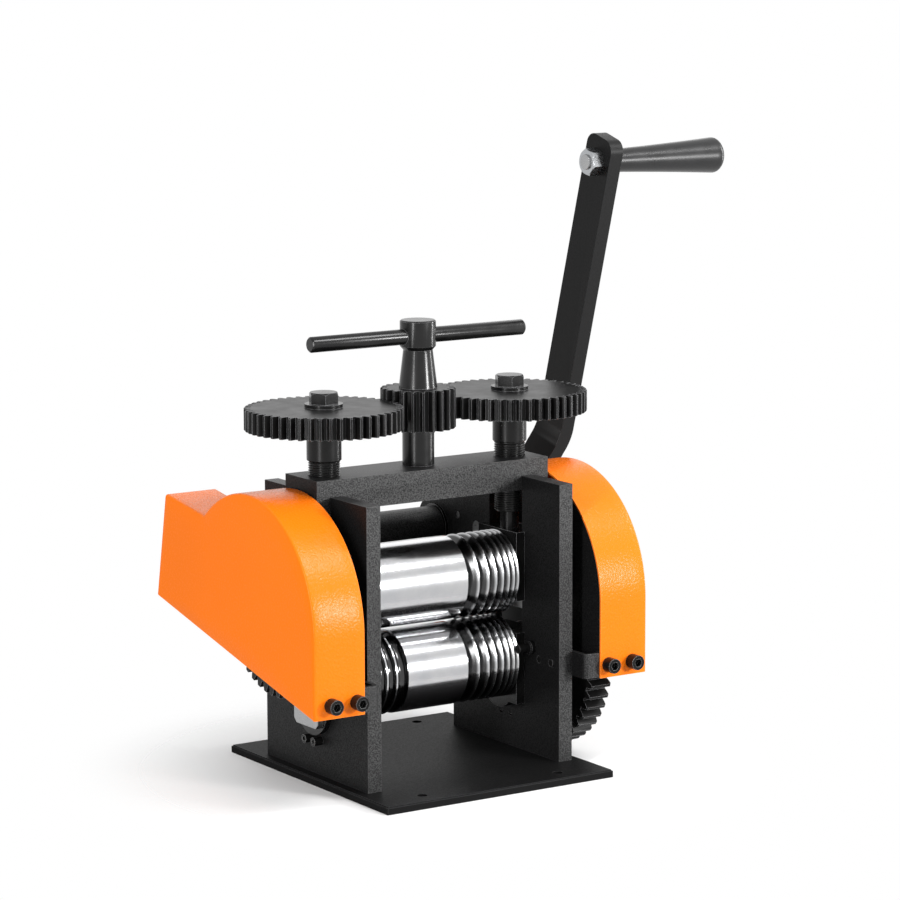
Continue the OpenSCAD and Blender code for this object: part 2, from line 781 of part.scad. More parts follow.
// Drive shaft with its square for the crank and a thread for the nut on the left
module drive_shaft() color(plain_steel) difference() {
    union() {
        rod_x(-gear_out_x, crank_x, drive_y, drive_z, shaft_d);
        rod_x(-gear_out_x - nut_washer_t - nut_t - thread_proud, -gear_out_x, drive_y, drive_z,
            nut_thread_d);
        at_crank() block([-square_w / 2, -square_w / 2, -over],
            [square_w / 2, square_w / 2, crank_t - shoulder_l]);
    }
    at_drive_keys() drive_key_solid();
    at_crank() translate([0, 0, -crank_bolt_d]) cylinder(d = crank_bolt_d, h = crank_bolt_d + crank_t);
}

// Places of the drive shaft's keys, on top of the shaft under each pinion
module at_drive_keys() {
    for (side = [-1, 1]) on_side(side) translate([gear_x, drive_y, drive_z + shaft_d / 2]) children();
}
module drive_key_solid()
    block([0, -key_w / 2, -key_sink], [gear_t, key_w / 2, key_rise]);
module drive_keys() color(plain_steel) at_drive_keys() drive_key_solid();

// Drive pinions, drawn on their own sides with their own turns
module drive_pinion(turn) difference() {
    union() {
        along_x(gear_x, drive_y, drive_z) linear_extrude(gear_t)
            gear_outline(pinion_n, drive_module, turn);
        rod_x(plate_out_x + face_gap, gear_x, drive_y, drive_z, pinion_hub_d);
    }
    rod_x(plate_out_x, gear_out_x + over, drive_y, drive_z, shaft_d);
    translate([gear_x, drive_y, drive_z + shaft_d / 2])
        block([-over - gear_x + plate_out_x, -key_w / 2, -key_sink],
            [gear_t + over, key_w / 2, key_rise]);
}
module drive_pinions() color(oxide_black) {
    drive_pinion(right_pinion_turn);
    on_side(-1) drive_pinion(left_pinion_turn);
}
module drive_nut() color(zinc) on_side(-1) end_nut(drive_y, drive_z);

// The crank's own frame: local Y runs along the bar, local Z outwards from the hub's face
module at_crank() {
    along_x(crank_x, drive_y, drive_z) rotate([0, 0, crank_lean]) children();
}

// Crank arm: a flat bar with two bends, a square hole and a rounded end
module crank_arm() color(frame_black) at_crank() {
    bend = atan(crank_offset / (crank_bend_high - crank_bend_low));
    miter = crank_t * tan(bend / 2);
    end = crank_l + crank_end;
    difference() {
        intersection() {
            translate([-crank_w / 2, 0, 0]) rotate([90, 0, 90]) linear_extrude(crank_w) polygon([
                [-crank_w / 2, 0], [crank_bend_low, 0], [crank_bend_high, crank_offset],
                [end, crank_offset], [end, crank_offset + crank_t],
                [crank_bend_high - miter, crank_offset + crank_t],
                [crank_bend_low - miter, crank_t], [-crank_w / 2, crank_t]
            ]);
            translate([0, 0, -over]) linear_extrude(crank_offset + crank_t + 2 * over) union() {
                circle(d = crank_w);
                translate([-crank_w / 2, 0]) square([crank_w, end - crank_corner_r]);
                translate([-crank_w / 2 + crank_corner_r, 0]) square([crank_w - 2 * crank_corner_r, end]);
                for (s = [-1, 1])
                    translate([s * (crank_w / 2 - crank_corner_r), end - crank_corner_r])
                        circle(r = crank_corner_r);
            }
        }
        block([-square_w / 2, -square_w / 2, -over], [square_w / 2, square_w / 2, crank_t + over]);
        translate([0, crank_l, 0]) cylinder(d = grip_bolt_d, h = crank_offset + crank_t + over);
    }
}

// Screw and washer that hold the crank on its square
module crank_screw() color(oxide_black) at_crank() {
    translate([0, 0, crank_t]) difference() {
        cylinder(d = crank_washer_d, h = crank_washer_t);
        translate([0, 0, -over]) cylinder(d = crank_bolt_d, h = crank_washer_t + 2 * over);
    }
    translate([0, 0, crank_t + crank_washer_t]) cap_head(crank_bolt_d * cap_head_share, crank_bolt_d);
    translate([0, 0, -crank_bolt_d]) cylinder(d = crank_bolt_d,
        h = crank_bolt_d + crank_t + crank_washer_t);
}

// The grip's own frame: local Z runs outwards along its axis from the outer face of the bar
module at_grip() {
    at_crank() translate([0, crank_l, crank_offset + crank_t]) children();
}

// Grip bolt: a stud with a bead that the grip snaps over
module grip_bolt() color(plain_steel) at_grip() {
    reach = grip_l - grip_bore_wall;
    translate([0, 0, -crank_t - grip_nut_t - grip_stud_proud])
        cylinder(d = grip_bolt_d, h = crank_t + grip_nut_t + grip_stud_proud + reach);
    translate([0, 0, reach - bead_back - bead_l]) cylinder(d = bead_d, h = bead_l);
}

// Plain nut on the inner side of the bar
module grip_nut() color(zinc) at_grip() translate([0, 0, -crank_t - grip_nut_t]) difference() {
    intersection() {
        hex(grip_nut_af, grip_nut_t);
        cylinder(d1 = grip_nut_af, d2 = grip_nut_af + 2 * grip_nut_t, h = grip_nut_t);
    }
    translate([0, 0, -over]) cylinder(d = grip_bolt_d, h = grip_nut_t + 2 * over);
}

// Tapered grip with a rounded end, free to turn on its bolt
module crank_grip() color(grip_black) at_grip() difference() {
    straight = grip_l - grip_round;
    arc = [for (s = [1 : 4]) let (a = s * 90 / 5)
        [grip_flat_d / 2 + (grip_big_d - grip_flat_d) / 2 * cos(a), straight + grip_round * sin(a)]];
    translate([0, 0, grip_gap]) rotate_extrude() polygon(concat(
        [[0, 0], [grip_small_d / 2, 0], [grip_big_d / 2, straight]], arc,
        [[grip_flat_d / 2, grip_l], [0, grip_l]]));
    translate([0, 0, -over]) cylinder(d = grip_bolt_d + 2 * run_fit,
        h = over + grip_l - grip_bore_wall + face_gap);
    translate([0, 0, grip_l - grip_bore_wall - bead_back - bead_l - face_gap])
        cylinder(d = bead_d + 2 * run_fit, h = bead_l + 2 * face_gap);
}

// Adjusting screw: boss, thread, and the grooved neck that holds the upper block
module adjusting_screw() {
    neck_low = upper_z + block_above - neck_in + face_gap;
    neck_top = upper_z + block_above + neck_in;
    pin_z = upper_z + block_above - block_pin_drop;
    difference() {
        union() {
            rod_z(neck_low, neck_top, screw_x, 0, neck_d);
            rod_z(neck_top, beam_top_z + thread_top_h, screw_x, 0, screw_d);
            rod_z(beam_top_z + thread_top_h, screw_gear_z, screw_x, 0, screw_boss_d);
            rod_z(screw_gear_z, screw_gear_z + screw_gear_t - spigot_short, screw_x, 0, spigot_d);
        }
        difference() {
            rod_z(pin_z - block_pin_d / 2 - slide_fit, pin_z + block_pin_d / 2 + slide_fit,
                screw_x, 0, neck_d + over);
            rod_z(pin_z - block_pin_d, pin_z + block_pin_d, screw_x, 0, neck_groove_d);
        }
        rod_z(screw_gear_z - gear_bolt_d, screw_gear_z + screw_gear_t, screw_x, 0, gear_bolt_d);
    }
}
module left_adjusting_screw() color(oxide_black) on_side(-1) adjusting_screw();
module right_adjusting_screw() color(oxide_black) adjusting_screw();

// Screw gear, drawn for the right side with a space towards the spindle
module screw_gear() translate([screw_x, 0, screw_gear_z]) difference() {
    linear_extrude(screw_gear_t)
        gear_outline(screw_gear_n, screw_module, 180 + 180 / screw_gear_n);
    translate([0, 0, -over]) cylinder(d = spigot_d, h = screw_gear_t + 2 * over);
}
module left_screw_gear() color(oxide_black) on_side(-1) screw_gear();
module right_screw_gear() color(oxide_black) screw_gear();

// Washer and hexagon bolt on top of a screw gear
module gear_bolt() translate([screw_x, 0, screw_gear_z + screw_gear_t]) {
    difference() {
        cylinder(d = gear_washer_d, h = gear_washer_t);
        translate([0, 0, -over]) cylinder(d = gear_bolt_d, h = gear_washer_t + 2 * over);
    }
    translate([0, 0, gear_washer_t]) intersection() {
        hex(gear_bolt_af, gear_bolt_t);
        cylinder(d1 = gear_bolt_af + 2 * gear_bolt_t, d2 = gear_bolt_af, h = gear_bolt_t);
    }
    translate([0, 0, -screw_gear_t - gear_bolt_d])
        cylinder(d = gear_bolt_d, h = screw_gear_t + gear_bolt_d + gear_washer_t);
}
module left_gear_bolt() color(oxide_black) on_side(-1) gear_bolt();
module right_gear_bolt() color(oxide_black) gear_bolt();

// Heights along the handle spindle
pinion_z = screw_gear_z - pinion_margin_low;
pinion_top_z = screw_gear_z + screw_gear_t + pinion_margin_high;
cone_top_z = pinion_top_z + cone_h;
head_top_z = cone_top_z + head_h;
tommy_z = cone_top_z + head_h / 2 - head_edge;

// Handle spindle: neck in the beam, plain shaft, cone and cross-drilled head
module handle_spindle() color(oxide_black) difference() {
    union() {
        rod_z(beam_z + retainer_sink - spindle_gap, beam_top_z + spindle_gap, 0, 0, spindle_neck_d);
        rod_z(beam_top_z + spindle_gap, pinion_z, 0, 0, spindle_d);
        rod_z(pinion_z, pinion_top_z, 0, 0, spindle_neck_d);
        translate([0, 0, pinion_top_z]) cylinder(d1 = cone_low_d, d2 = cone_top_d, h = cone_h);
        translate([0, 0, cone_top_z]) cylinder(d1 = cone_top_d, d2 = head_d, h = head_taper_h);
        rod_z(cone_top_z + head_taper_h, head_top_z - head_edge, 0, 0, head_d);
        translate([0, 0, head_top_z - head_edge])
            cylinder(d1 = head_d, d2 = head_d - 2 * head_edge, h = head_edge);
    }
    rod_x(-head_d, head_d, 0, tommy_z, tommy_d);
    rod_z(beam_z, beam_z + beam_h * retainer_depth_share, 0, 0, retainer_bolt_d);
}

// Long pinion that both screw gears slide along
module spindle_pinion() color(oxide_black) difference() {
    translate([0, 0, pinion_z]) linear_extrude(pinion_top_z - pinion_z)
        gear_outline(screw_pinion_n, screw_module, 0);
    rod_z(pinion_z - over, pinion_top_z + over, 0, 0, spindle_neck_d);
}

// Tommy bar with chamfered ends
module tommy_bar() color(oxide_black) along_x(0, 0, tommy_z) {
    for (s = [-1, 1]) mirror([0, 0, s < 0 ? 1 : 0]) {
        cylinder(d = tommy_d, h = tommy_l / 2 - tommy_edge);
        translate([0, 0, tommy_l / 2 - tommy_edge])
            cylinder(d1 = tommy_d, d2 = tommy_d - 2 * tommy_edge, h = tommy_edge);
    }
}

// Washer and screw that hold the spindle down, sunk in the beam
module spindle_retainer() color(oxide_black) {
    top = beam_z + retainer_sink - spindle_gap;
    rod_z(top - retainer_t, top, 0, 0, retainer_d);
    translate([0, 0, top - retainer_t]) mirror([0, 0, 1])
        cap_head(retainer_bolt_d * cap_head_share, retainer_head_t);
    rod_z(top - over, beam_z + beam_h * retainer_depth_share - face_gap, 0, 0, retainer_bolt_d);
}

// Corners of the cover's tail behind the drive shaft
tail_top = [drive_y + tail_top_share[0] * pinion_tip_r, drive_z + tail_top_share[1] * pinion_tip_r];
tail_low = [drive_y + tail_low_share[0] * pinion_tip_r, drive_z + tail_low_share[1] * pinion_tip_r];
valley = [cover_r * cos(valley_turn), cover_arc_z + cover_r * sin(valley_turn)];

// A point moved in from an edge between two points by a distance, to the right of its course
function inset(a, b, d) = let (v = (b - a) / norm(b - a)) [v[1], -v[0]] * d;

// Where two lines cross, each given by a point and a direction
function crossing(p, u, q, v) = let (t = ((q[0] - p[0]) * v[1] - (q[1] - p[1]) * v[0])
    / (u[0] * v[1] - u[1] * v[0])) p + t * u;

// Side outline of a cover, drawn in by a distance: front lip, arch, tail top and tail back.
// The underside is a straight slant, which the inner outline runs past.
module cover_outline(d) {
    r = cover_r - d;
    low = d > 0 ? over : 0;
    front = [-r, cover_low_z];
    top_in = inset(valley, tail_top, d);
    back_in = inset(tail_top, tail_low, d);
    corner = crossing(tail_top + top_in, tail_top - valley, tail_top + back_in, tail_low - tail_top);
    foot = tail_low + back_in;
    down = (tail_low - tail_top) / norm(tail_low - tail_top) * low;
    union() {
        intersection() {
            translate([0, cover_arc_z]) circle(r = r, $fn = 120);
            translate([-r, cover_arc_z - over / 2]) square([r + valley[0], r + over]);
        }
        polygon([front - [0, low], [-r, cover_arc_z], valley + top_in, corner, foot + down,
            [front[0], front[1] - low]]);
        polygon([front - [0, low], [-r, cover_arc_z], [0, cover_arc_z], valley + top_in,
            valley + top_in - [0, r / 3], foot + down]);
    }
}

// Gear cover: face, rim and the open slanted underside, drawn for the right side
module gear_cover(hole) difference() {
    along_x(cover_in_x, 0, 0) linear_extrude(cover_w) cover_outline(0);
    along_x(cover_in_x - over, 0, 0) linear_extrude(cover_w - cover_t + over) cover_outline(cover_t);
    at_cover_screws() cylinder(d = cover_screw_d, h = 3 * cover_t, center = true);
    if (hole) rod_x(cover_in_x, cover_out_x + over, drive_y, drive_z, shaft_d + 2 * shaft_hole_gap);
}
module left_cover() color(cover_orange) on_side(-1) gear_cover(false);
module right_cover() color(cover_orange) gear_cover(true);

// Places of the cover screws, local Z pointing in from the front of the lip
module at_cover_screws() {
    for (k = [0, 1])
        translate([cover_in_x + cover_screw_in + k * cover_screw_pitch, -cover_r,
            cover_low_z + cover_screw_h]) rotate([-90, 0, 0]) children();
}
module cover_screws() color(oxide_black) for (side = [-1, 1]) on_side(side) at_cover_screws() {
    mirror([0, 0, 1]) cap_head(cover_head_d, cover_head_h);
    cylinder(d = cover_screw_d, h = cover_screw_l);
}

// Bent strap that carries a cover in front of its side plate
module cover_bracket() difference() {
    front_y = -cover_r + cover_t;
    bend_y = front_y + bracket_bend_r;
    bend_x = plate_out_x + bracket_bend_r;
    translate([0, 0, bracket_z0]) union() {
        block([plate_out_x, bend_y, 0], [plate_out_x + bracket_t, -bracket_tail_y, bracket_h]);
        block([bend_x, front_y, 0], [cover_out_x - cover_t - face_gap, front_y + bracket_t, bracket_h]);
        intersection() {
            difference() {
                translate([bend_x, bend_y, 0]) cylinder(r = bracket_bend_r, h = bracket_h);
                translate([bend_x, bend_y, -over])
                    cylinder(r = bracket_bend_r - bracket_t, h = bracket_h + 2 * over);
            }
            block([plate_out_x, front_y, 0], [bend_x, bend_y, bracket_h]);
        }
    }
    at_bracket_screws() cylinder(d = bracket_screw_d, h = plate_t + bracket_t + 2 * over);
    at_cover_screws() cylinder(d = cover_screw_d, h = cover_screw_l);
}
module left_cover_bracket() color(frame_black) on_side(-1) cover_bracket();
module right_cover_bracket() color(frame_black) cover_bracket();

// Low cap screws that hold the brackets to the side plates
module bracket_screws() color(oxide_black) for (side = [-1, 1]) on_side(side) at_bracket_screws() {
    translate([0, 0, over + face_gap]) cylinder(d = bracket_screw_d, h = plate_t + bracket_t - face_gap);
    translate([0, 0, over + plate_t + bracket_t]) cap_head(bracket_head_d, bracket_head_h);
}

base_plate();
left_side_plate();
right_side_plate();
frame_screws();
top_beam();
beam_screws();
left_shaft_arm();
right_shaft_arm();
arm_pins();
spacer_tube();
shaft_bushes();
lower_left_block();
lower_right_block();
lower_bushes();
lower_end_plate();
keeper_screws();
guide_studs();
idler_bolt();
left_cover();
right_cover();
left_cover_bracket();
right_cover_bracket();
cover_screws();
bracket_screws();
upper_left_block();
upper_right_block();
upper_bushes();
upper_end_plate();
block_pins();
lower_roll();
lower_roll_gear();
lower_gear_key();
lower_gear_nut();
lower_end_screw();
upper_roll();
upper_roll_gear();
upper_gear_key();
upper_gear_nut();
upper_end_screw();
left_adjusting_screw();
left_screw_gear();
left_gear_bolt();
right_adjusting_screw();
right_screw_gear();
right_gear_bolt();
handle_spindle();
spindle_pinion();
tommy_bar();
spindle_retainer();
idler_gear();
drive_shaft();
drive_pinions();
drive_keys();
drive_nut();
crank_arm();
crank_screw();
grip_bolt();
grip_nut();
crank_grip();
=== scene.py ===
"""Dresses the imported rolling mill: its rounded edges, threads, teeth, covers, finishes, light and camera.

Every length is in metres. The frame's own boxes and joints give the places, and the sizes that only
a finished piece needs, such as tooth outlines and bend radii, are fields of the class that builds it.
"""

import json
import logging
import math
from dataclasses import dataclass, field
from enum import Enum
from typing import ClassVar, Optional, Sequence, Union

import bmesh
import bpy
import numpy as np
from mathutils import Matrix, Vector


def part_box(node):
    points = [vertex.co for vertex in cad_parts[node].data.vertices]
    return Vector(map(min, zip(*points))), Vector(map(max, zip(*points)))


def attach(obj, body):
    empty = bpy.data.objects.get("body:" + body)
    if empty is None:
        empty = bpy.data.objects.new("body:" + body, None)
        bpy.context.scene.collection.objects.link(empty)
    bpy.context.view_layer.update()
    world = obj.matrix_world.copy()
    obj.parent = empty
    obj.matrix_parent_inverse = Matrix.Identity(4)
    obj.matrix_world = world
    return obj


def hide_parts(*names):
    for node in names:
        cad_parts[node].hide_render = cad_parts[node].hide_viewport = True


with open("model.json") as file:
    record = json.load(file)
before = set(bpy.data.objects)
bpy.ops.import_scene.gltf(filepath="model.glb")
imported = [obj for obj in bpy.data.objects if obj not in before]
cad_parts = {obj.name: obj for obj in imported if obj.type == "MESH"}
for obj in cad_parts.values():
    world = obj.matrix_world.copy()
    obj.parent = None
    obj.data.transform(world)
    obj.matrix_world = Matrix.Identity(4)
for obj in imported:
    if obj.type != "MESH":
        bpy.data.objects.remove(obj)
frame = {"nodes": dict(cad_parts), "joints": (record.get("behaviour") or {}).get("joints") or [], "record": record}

MM = 0.001
log = logging.getLogger("rolling_mill")

Triple = tuple[float, float, float]
Span = tuple[float, float]
Surface = tuple[np.ndarray, list]
Socket = bpy.types.NodeSocket
Piece = bpy.types.Object

# The stretch that most of a noise's values lie in, and the whole stretch of a mask
MOST_NOISE = (0.3, 0.7)
WHOLE = (0.0, 1.0)


class Side(Enum):
    """The two sides of the mill. The crank stands on the right."""

    LEFT = -1
    RIGHT = 1

    def own(self, thing: str) -> str:
        """Name this side's one of a pair."""
        return f"{self.name.lower()}_{thing}"

    @property
    def flip(self) -> np.ndarray:
        """Give the factors that carry points of the right side to this side."""
        return np.array([self.value, 1, 1])


class Axis(Enum):
    """The direction that a turned or toothed piece has its axis along."""

    ALONG_X = "x"
    ALONG_Z = "z"


def both(thing: str, value: object) -> dict[str, object]:
    """Give both nodes of a pair the same value."""
    return {side.own(thing): value for side in Side}


# Reading the frame


def middle(node: str) -> np.ndarray:
    """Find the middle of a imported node's box."""
    low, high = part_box(node)
    return (np.array(low) + np.array(high)) / 2


def joint_place(name: str) -> np.ndarray:
    """Find the point that a hinge of the record turns about."""
    found = next(joint for joint in frame["joints"] if joint["name"] == name)
    return np.array(found["pos_m"], float)


def body_with(node: str) -> str:
    """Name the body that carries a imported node."""
    groups = frame["record"]["behaviour"]["bodies"]
    return next(body for body, members in groups.items() if node in members)


def slot_of(node: str) -> str:
    """Name the record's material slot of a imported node."""
    return next(s["material_slot"] for s in frame["record"]["subparts"] if s["node"] == node)


# Materials


class Nodes:
    """A node tree while it is put together."""

    def __init__(self, tree: bpy.types.NodeTree) -> None:
        """Start with the empty tree of a material or of the world."""
        self.tree = tree
        self.tree.nodes.clear()

    def add(self, kind: str, **settings: object) -> bpy.types.Node:
        """Add a node.

        Args:
            kind: Blender's name of the node type.
            **settings: Properties to set on the node.

        Returns:
            The new node.
        """
        node = self.tree.nodes.new(kind)
        for name, value in settings.items():
            setattr(node, name, value)
        return node

    def join(self, source: Socket, target: Socket) -> None:
        """Link an output to an input."""
        self.tree.links.new(source, target)

    def step(self, kind: str, *sources: object, output: Union[int, str] = 0, **settings: object) -> Socket:
        """Add a node, fill its first inputs and pass on one of its outputs.

        Args:
            kind: Blender's name of the node type.
            *sources: For each of the first inputs a socket, a plain value, or None to leave it alone.
            output: Number or name of the output.
            **settings: Properties to set on the node.

        Returns:
            The output.
        """
        node = self.add(kind, **settings)
        for source, target in zip(sources, node.inputs):
            if isinstance(source, Socket):
                self.join(source, target)
            elif source is not None:
                target.default_value = source
        return node.outputs[output]

    def fit(self, value: Socket, old: Span, new: Span) -> Socket:
        """Map a value from one range to another, held at the ends."""
        return self.step("ShaderNodeMapRange", value, *old, *new)

    def times(self, one: Socket, other: Socket) -> Socket:
        """Multiply two values."""
        return self.step("ShaderNodeMath", one, other, operation="MULTIPLY")


class Recipe(Nodes):
    """A material while it is put together, with its shader and the object coordinates."""

    bevel_samples = 6
    edge_cosines = (0.995, 0.86)

    def __init__(self, name: str) -> None:
        """Start a material with a plain shader.

        Args:
            name: Name of the material.
        """
        self.material = bpy.data.materials.new(name)
        self.material.use_nodes = True
        super().__init__(self.material.node_tree)
        self.shader = self.add("ShaderNodeBsdfPrincipled")
        self.output = self.add("ShaderNodeOutputMaterial")
        self.join(self.shader.outputs["BSDF"], self.output.inputs["Surface"])
        self.place = self.step("ShaderNodeTexCoord", output="Object")

    def placed(self, stretch: Triple, origin: Triple = (0.0, 0.0, 0.0)) -> Socket:
        """Read the object coordinates from an origin, stretched along the axes."""
        shifted = self.step("ShaderNodeVectorMath", self.place, origin, operation="SUBTRACT")
        return self.step("ShaderNodeVectorMath", shifted, stretch, operation="MULTIPLY")

    def noise(self, place: Socket, size: float, detail: float = 2.0, rough: float = 0.5) -> Socket:
        """Add noise with patches of a size, a number of finer layers and a weight for these."""
        return self.step("ShaderNodeTexNoise", place, None, 1 / size, detail, rough)

    def about(self, noise: Socket, value: float, below: float, above: float) -> Socket:
        """Let a value vary with a noise, from a little below it to a little above."""
        return self.fit(noise, MOST_NOISE, (value - below, value + above))

    def blend(self, share: Socket, one: Union[Triple, Socket], other: Triple) -> Socket:
        """Mix two colours.

        Args:
            share: How much of the other colour shows.
            one: First colour, or the socket of one.
            other: Second colour.

        Returns:
            The mixed colour.
        """
        first = one if isinstance(one, Socket) else (*one, 1)
        not_colours = [None] * 5
        return self.step("ShaderNodeMix", share, *not_colours, first, (*other, 1), output=2, data_type="RGBA")

    def edge_share(self, width: float) -> Socket:
        """Find the edges: one at a sharp or tightly rounded edge and zero on flat stretches.

        The mask grows with the angle between the normal and that of an edge rounded by the width.

        Args:
            width: How far from an edge the mask reaches.

        Returns:
            The mask.
        """
        soft = self.step("ShaderNodeBevel", width, samples=self.bevel_samples)
        sharp = self.step("ShaderNodeNewGeometry", output="Normal")
        cosine = self.step("ShaderNodeVectorMath", soft, sharp, output="Value", operation="DOT_PRODUCT")
        return self.fit(cosine, self.edge_cosines, WHOLE)

    def facing_x(self) -> Socket:
        """Find how squarely a face looks along X, to either side."""
        along_x = self.step("ShaderNodeSeparateXYZ", self.step("ShaderNodeNewGeometry", output="True Normal"))
        return self.step("ShaderNodeMath", along_x, operation="ABSOLUTE")

    def away(self, axis: Axis, centre: Triple) -> Socket:
        """Measure the distance from the axis that runs through a point."""
        across = self.placed((0, 1, 1) if axis is Axis.ALONG_X else (1, 1, 0), centre)
        return self.step("ShaderNodeVectorMath", across, output="Value", operation="LENGTH")

    def bump(self, height: Socket, depth: float, below: Optional[Socket] = None) -> Socket:
        """Turn a pattern of a depth into a normal at full strength, over the bump below it."""
        return self.step("ShaderNodeBump", 1.0, depth, None, height, below)

    def finished(self, colour: Socket, rough: Socket, normal: Socket) -> bpy.types.Material:
        """Link what the shader shows.

        Args:
            colour: Base colour.
            rough: Roughness.
            normal: Normal over the bumps.

        Returns:
            The finished material.
        """
        for name, source in (("Base Color", colour), ("Roughness", rough), ("Normal", normal)):
            self.join(source, self.shader.inputs[name])
        return self.material


@dataclass(frozen=True)
class PowderCoat:
    """Baked powder paint: a fine orange peel or a sandy texture, thinner and lighter on edges, partly a painted
    highlight.
    """

    name: str
    colour: Triple
    edge_wear_and_highlight: Triple
    roughness: float
    grain: float
    depth: float
    gloss: float
    edge_width: float = 0.5 * MM
    cloud_share: float = 0.94
    cloud_size: float = 70 * MM
    cloud_range: Span = (0.35, 0.65)
    rough_spread: Span = (0.05, 0.06)
    fleck: float = 0.0
    fleck_lift: float = 1.2
    fleck_range: Span = (0.38, 0.62)
    side_peel: float = 1.0
    side_gloss: float = 0.4
    square_range: Span = (0.5, 0.9)

    def make(self) -> bpy.types.Material:
        """Build the material. Its faces square to X have their own shares of the gloss and the peel.

        Returns:
            The finished material.
        """
        r = Recipe(self.name)
        peel = r.noise(r.place, self.grain, detail=2.5)
        cloud = r.noise(r.place, self.cloud_size, detail=3.0)
        shade = tuple(self.cloud_share * c for c in self.colour)
        body = r.blend(r.fit(cloud, self.cloud_range, WHOLE), shade, self.colour)
        # Lighter edges: thinner paint and a painted highlight
        worn_and_highlit = r.blend(r.edge_share(self.edge_width), body, self.edge_wear_and_highlight)
        square = r.facing_x()
        flecks = (self.gloss * (1 - self.fleck), self.gloss * (1 + self.fleck_lift * self.fleck))
        dulled = r.fit(square, self.square_range, (1.0, self.side_gloss))
        gloss = r.shader.inputs["Specular IOR Level"]
        gloss.default_value = self.gloss
        r.join(r.times(r.fit(peel, self.fleck_range, flecks), dulled), gloss)
        height = r.times(peel, r.fit(square, self.square_range, (1.0, self.side_peel)))
        rough = r.about(peel, self.roughness, *self.rough_spread)
        return r.finished(worn_and_highlit, rough, r.bump(height, self.depth))


@dataclass(frozen=True)
class BlackOxide:
    """Blued, oiled steel: near black with a faint grey cloud; steel shines through on edges, partly as a painted
    highlight.
    """

    name: str
    colour: Triple = (0.004, 0.004, 0.0042)
    cloudy: Triple = (0.008, 0.0078, 0.0076)
    cloud_size: float = 14 * MM
    cloud_range: Span = (0.35, 0.7)
    edge_wear_and_highlight: Triple = (0.3, 0.3, 0.31)
    edge_width: float = 0.35 * MM
    roughness: float = 0.22
    rough_spread: Span = (0.03, 0.06)
    gloss: float = 0.33
    grain: float = 0.7 * MM
    grain_depth: float = 0.006 * MM
    turned: Optional[Axis] = None
    centre: Triple = (0.0, 0.0, 0.0)
    pitch: float = 0.45 * MM
    ring_depth: float = 0.02 * MM

    def make(self) -> bpy.types.Material:
        """Build the material. Noise over the distance from the axis gives a turned piece its rings.

        Returns:
            The finished material.
        """
        r = Recipe(self.name)
        cloud = r.noise(r.place, self.cloud_size, detail=4.0, rough=0.6)
        body = r.blend(r.fit(cloud, self.cloud_range, WHOLE), self.colour, self.cloudy)
        # Lighter edges: worn steel and a painted highlight
        worn_and_highlit = r.blend(r.edge_share(self.edge_width), body, self.edge_wear_and_highlight)
        r.shader.inputs["Specular IOR Level"].default_value = self.gloss
        normal = r.bump(r.noise(r.place, self.grain), self.grain_depth)
        if self.turned is not None:
            outwards = r.step("ShaderNodeCombineXYZ", r.away(self.turned, self.centre))
            normal = r.bump(r.noise(outwards, self.pitch, detail=1.0), self.ring_depth, normal)
        return r.finished(worn_and_highlit, r.about(cloud, self.roughness, *self.rough_spread), normal)


@dataclass(frozen=True)
class BareMetal:
    """Uncoated or plated metal with the fine marks that turning, grinding or plating leaves."""

    name: str
    colour: Triple
    roughness: float
    streak: Triple
    mark: float
    depth: float
    turned_about: Optional[Triple] = None
    grooves_below: float = 0.0
    groove_reach: float = 1.2 * MM
    # Share of the colour that the painted shade in the grooves leaves at their roots
    painted_groove_shade: float = 0.12
    edge_width: float = 0.6 * MM
    # Share of the colour that the painted shade on edges leaves; one paints none
    painted_edge_shade: float = 1.0
    cloud_size: float = 18 * MM
    tint: Triple = (0.86, 0.87, 0.89)
    rough_range: Span = (0.75, 1.3)

    def in_painted_shade(self, share: float) -> Triple:
        """Darken the metal's colour, for painted shade."""
        return tuple(c * share for c in self.colour)

    def make(self) -> bpy.types.Material:
        """Build the material. Painted shade darkens a grooved piece's grooves with their depth, and can darken
        edges.

        Returns:
            The finished material.
        """
        r = Recipe(self.name)
        lines = r.noise(r.placed(self.streak), self.mark, detail=3.0, rough=0.6)
        cloud = r.noise(r.place, self.cloud_size, detail=3.0)
        tinted = tuple(c * s for c, s in zip(self.colour, self.tint))
        body = r.blend(r.fit(cloud, MOST_NOISE, WHOLE), tinted, self.colour)
        if self.turned_about is not None:
            away = r.away(Axis.ALONG_X, self.turned_about)
            # Painted shade in the grooves, darker towards their roots
            groove_shade_share = r.fit(away, (self.grooves_below, self.grooves_below - self.groove_reach), WHOLE)
            body = r.blend(groove_shade_share, body, self.in_painted_shade(self.painted_groove_shade))
        # Painted shade: a dark rim along edges and creases
        if self.painted_edge_shade < 1:
            body = r.blend(r.edge_share(self.edge_width), body, self.in_painted_shade(self.painted_edge_shade))
        r.shader.inputs["Metallic"].default_value = 1.0
        smoothest, roughest = self.rough_range
        rough = r.fit(lines, MOST_NOISE, (self.roughness * smoothest, self.roughness * roughest))
        return r.finished(body, rough, r.bump(lines, self.depth))


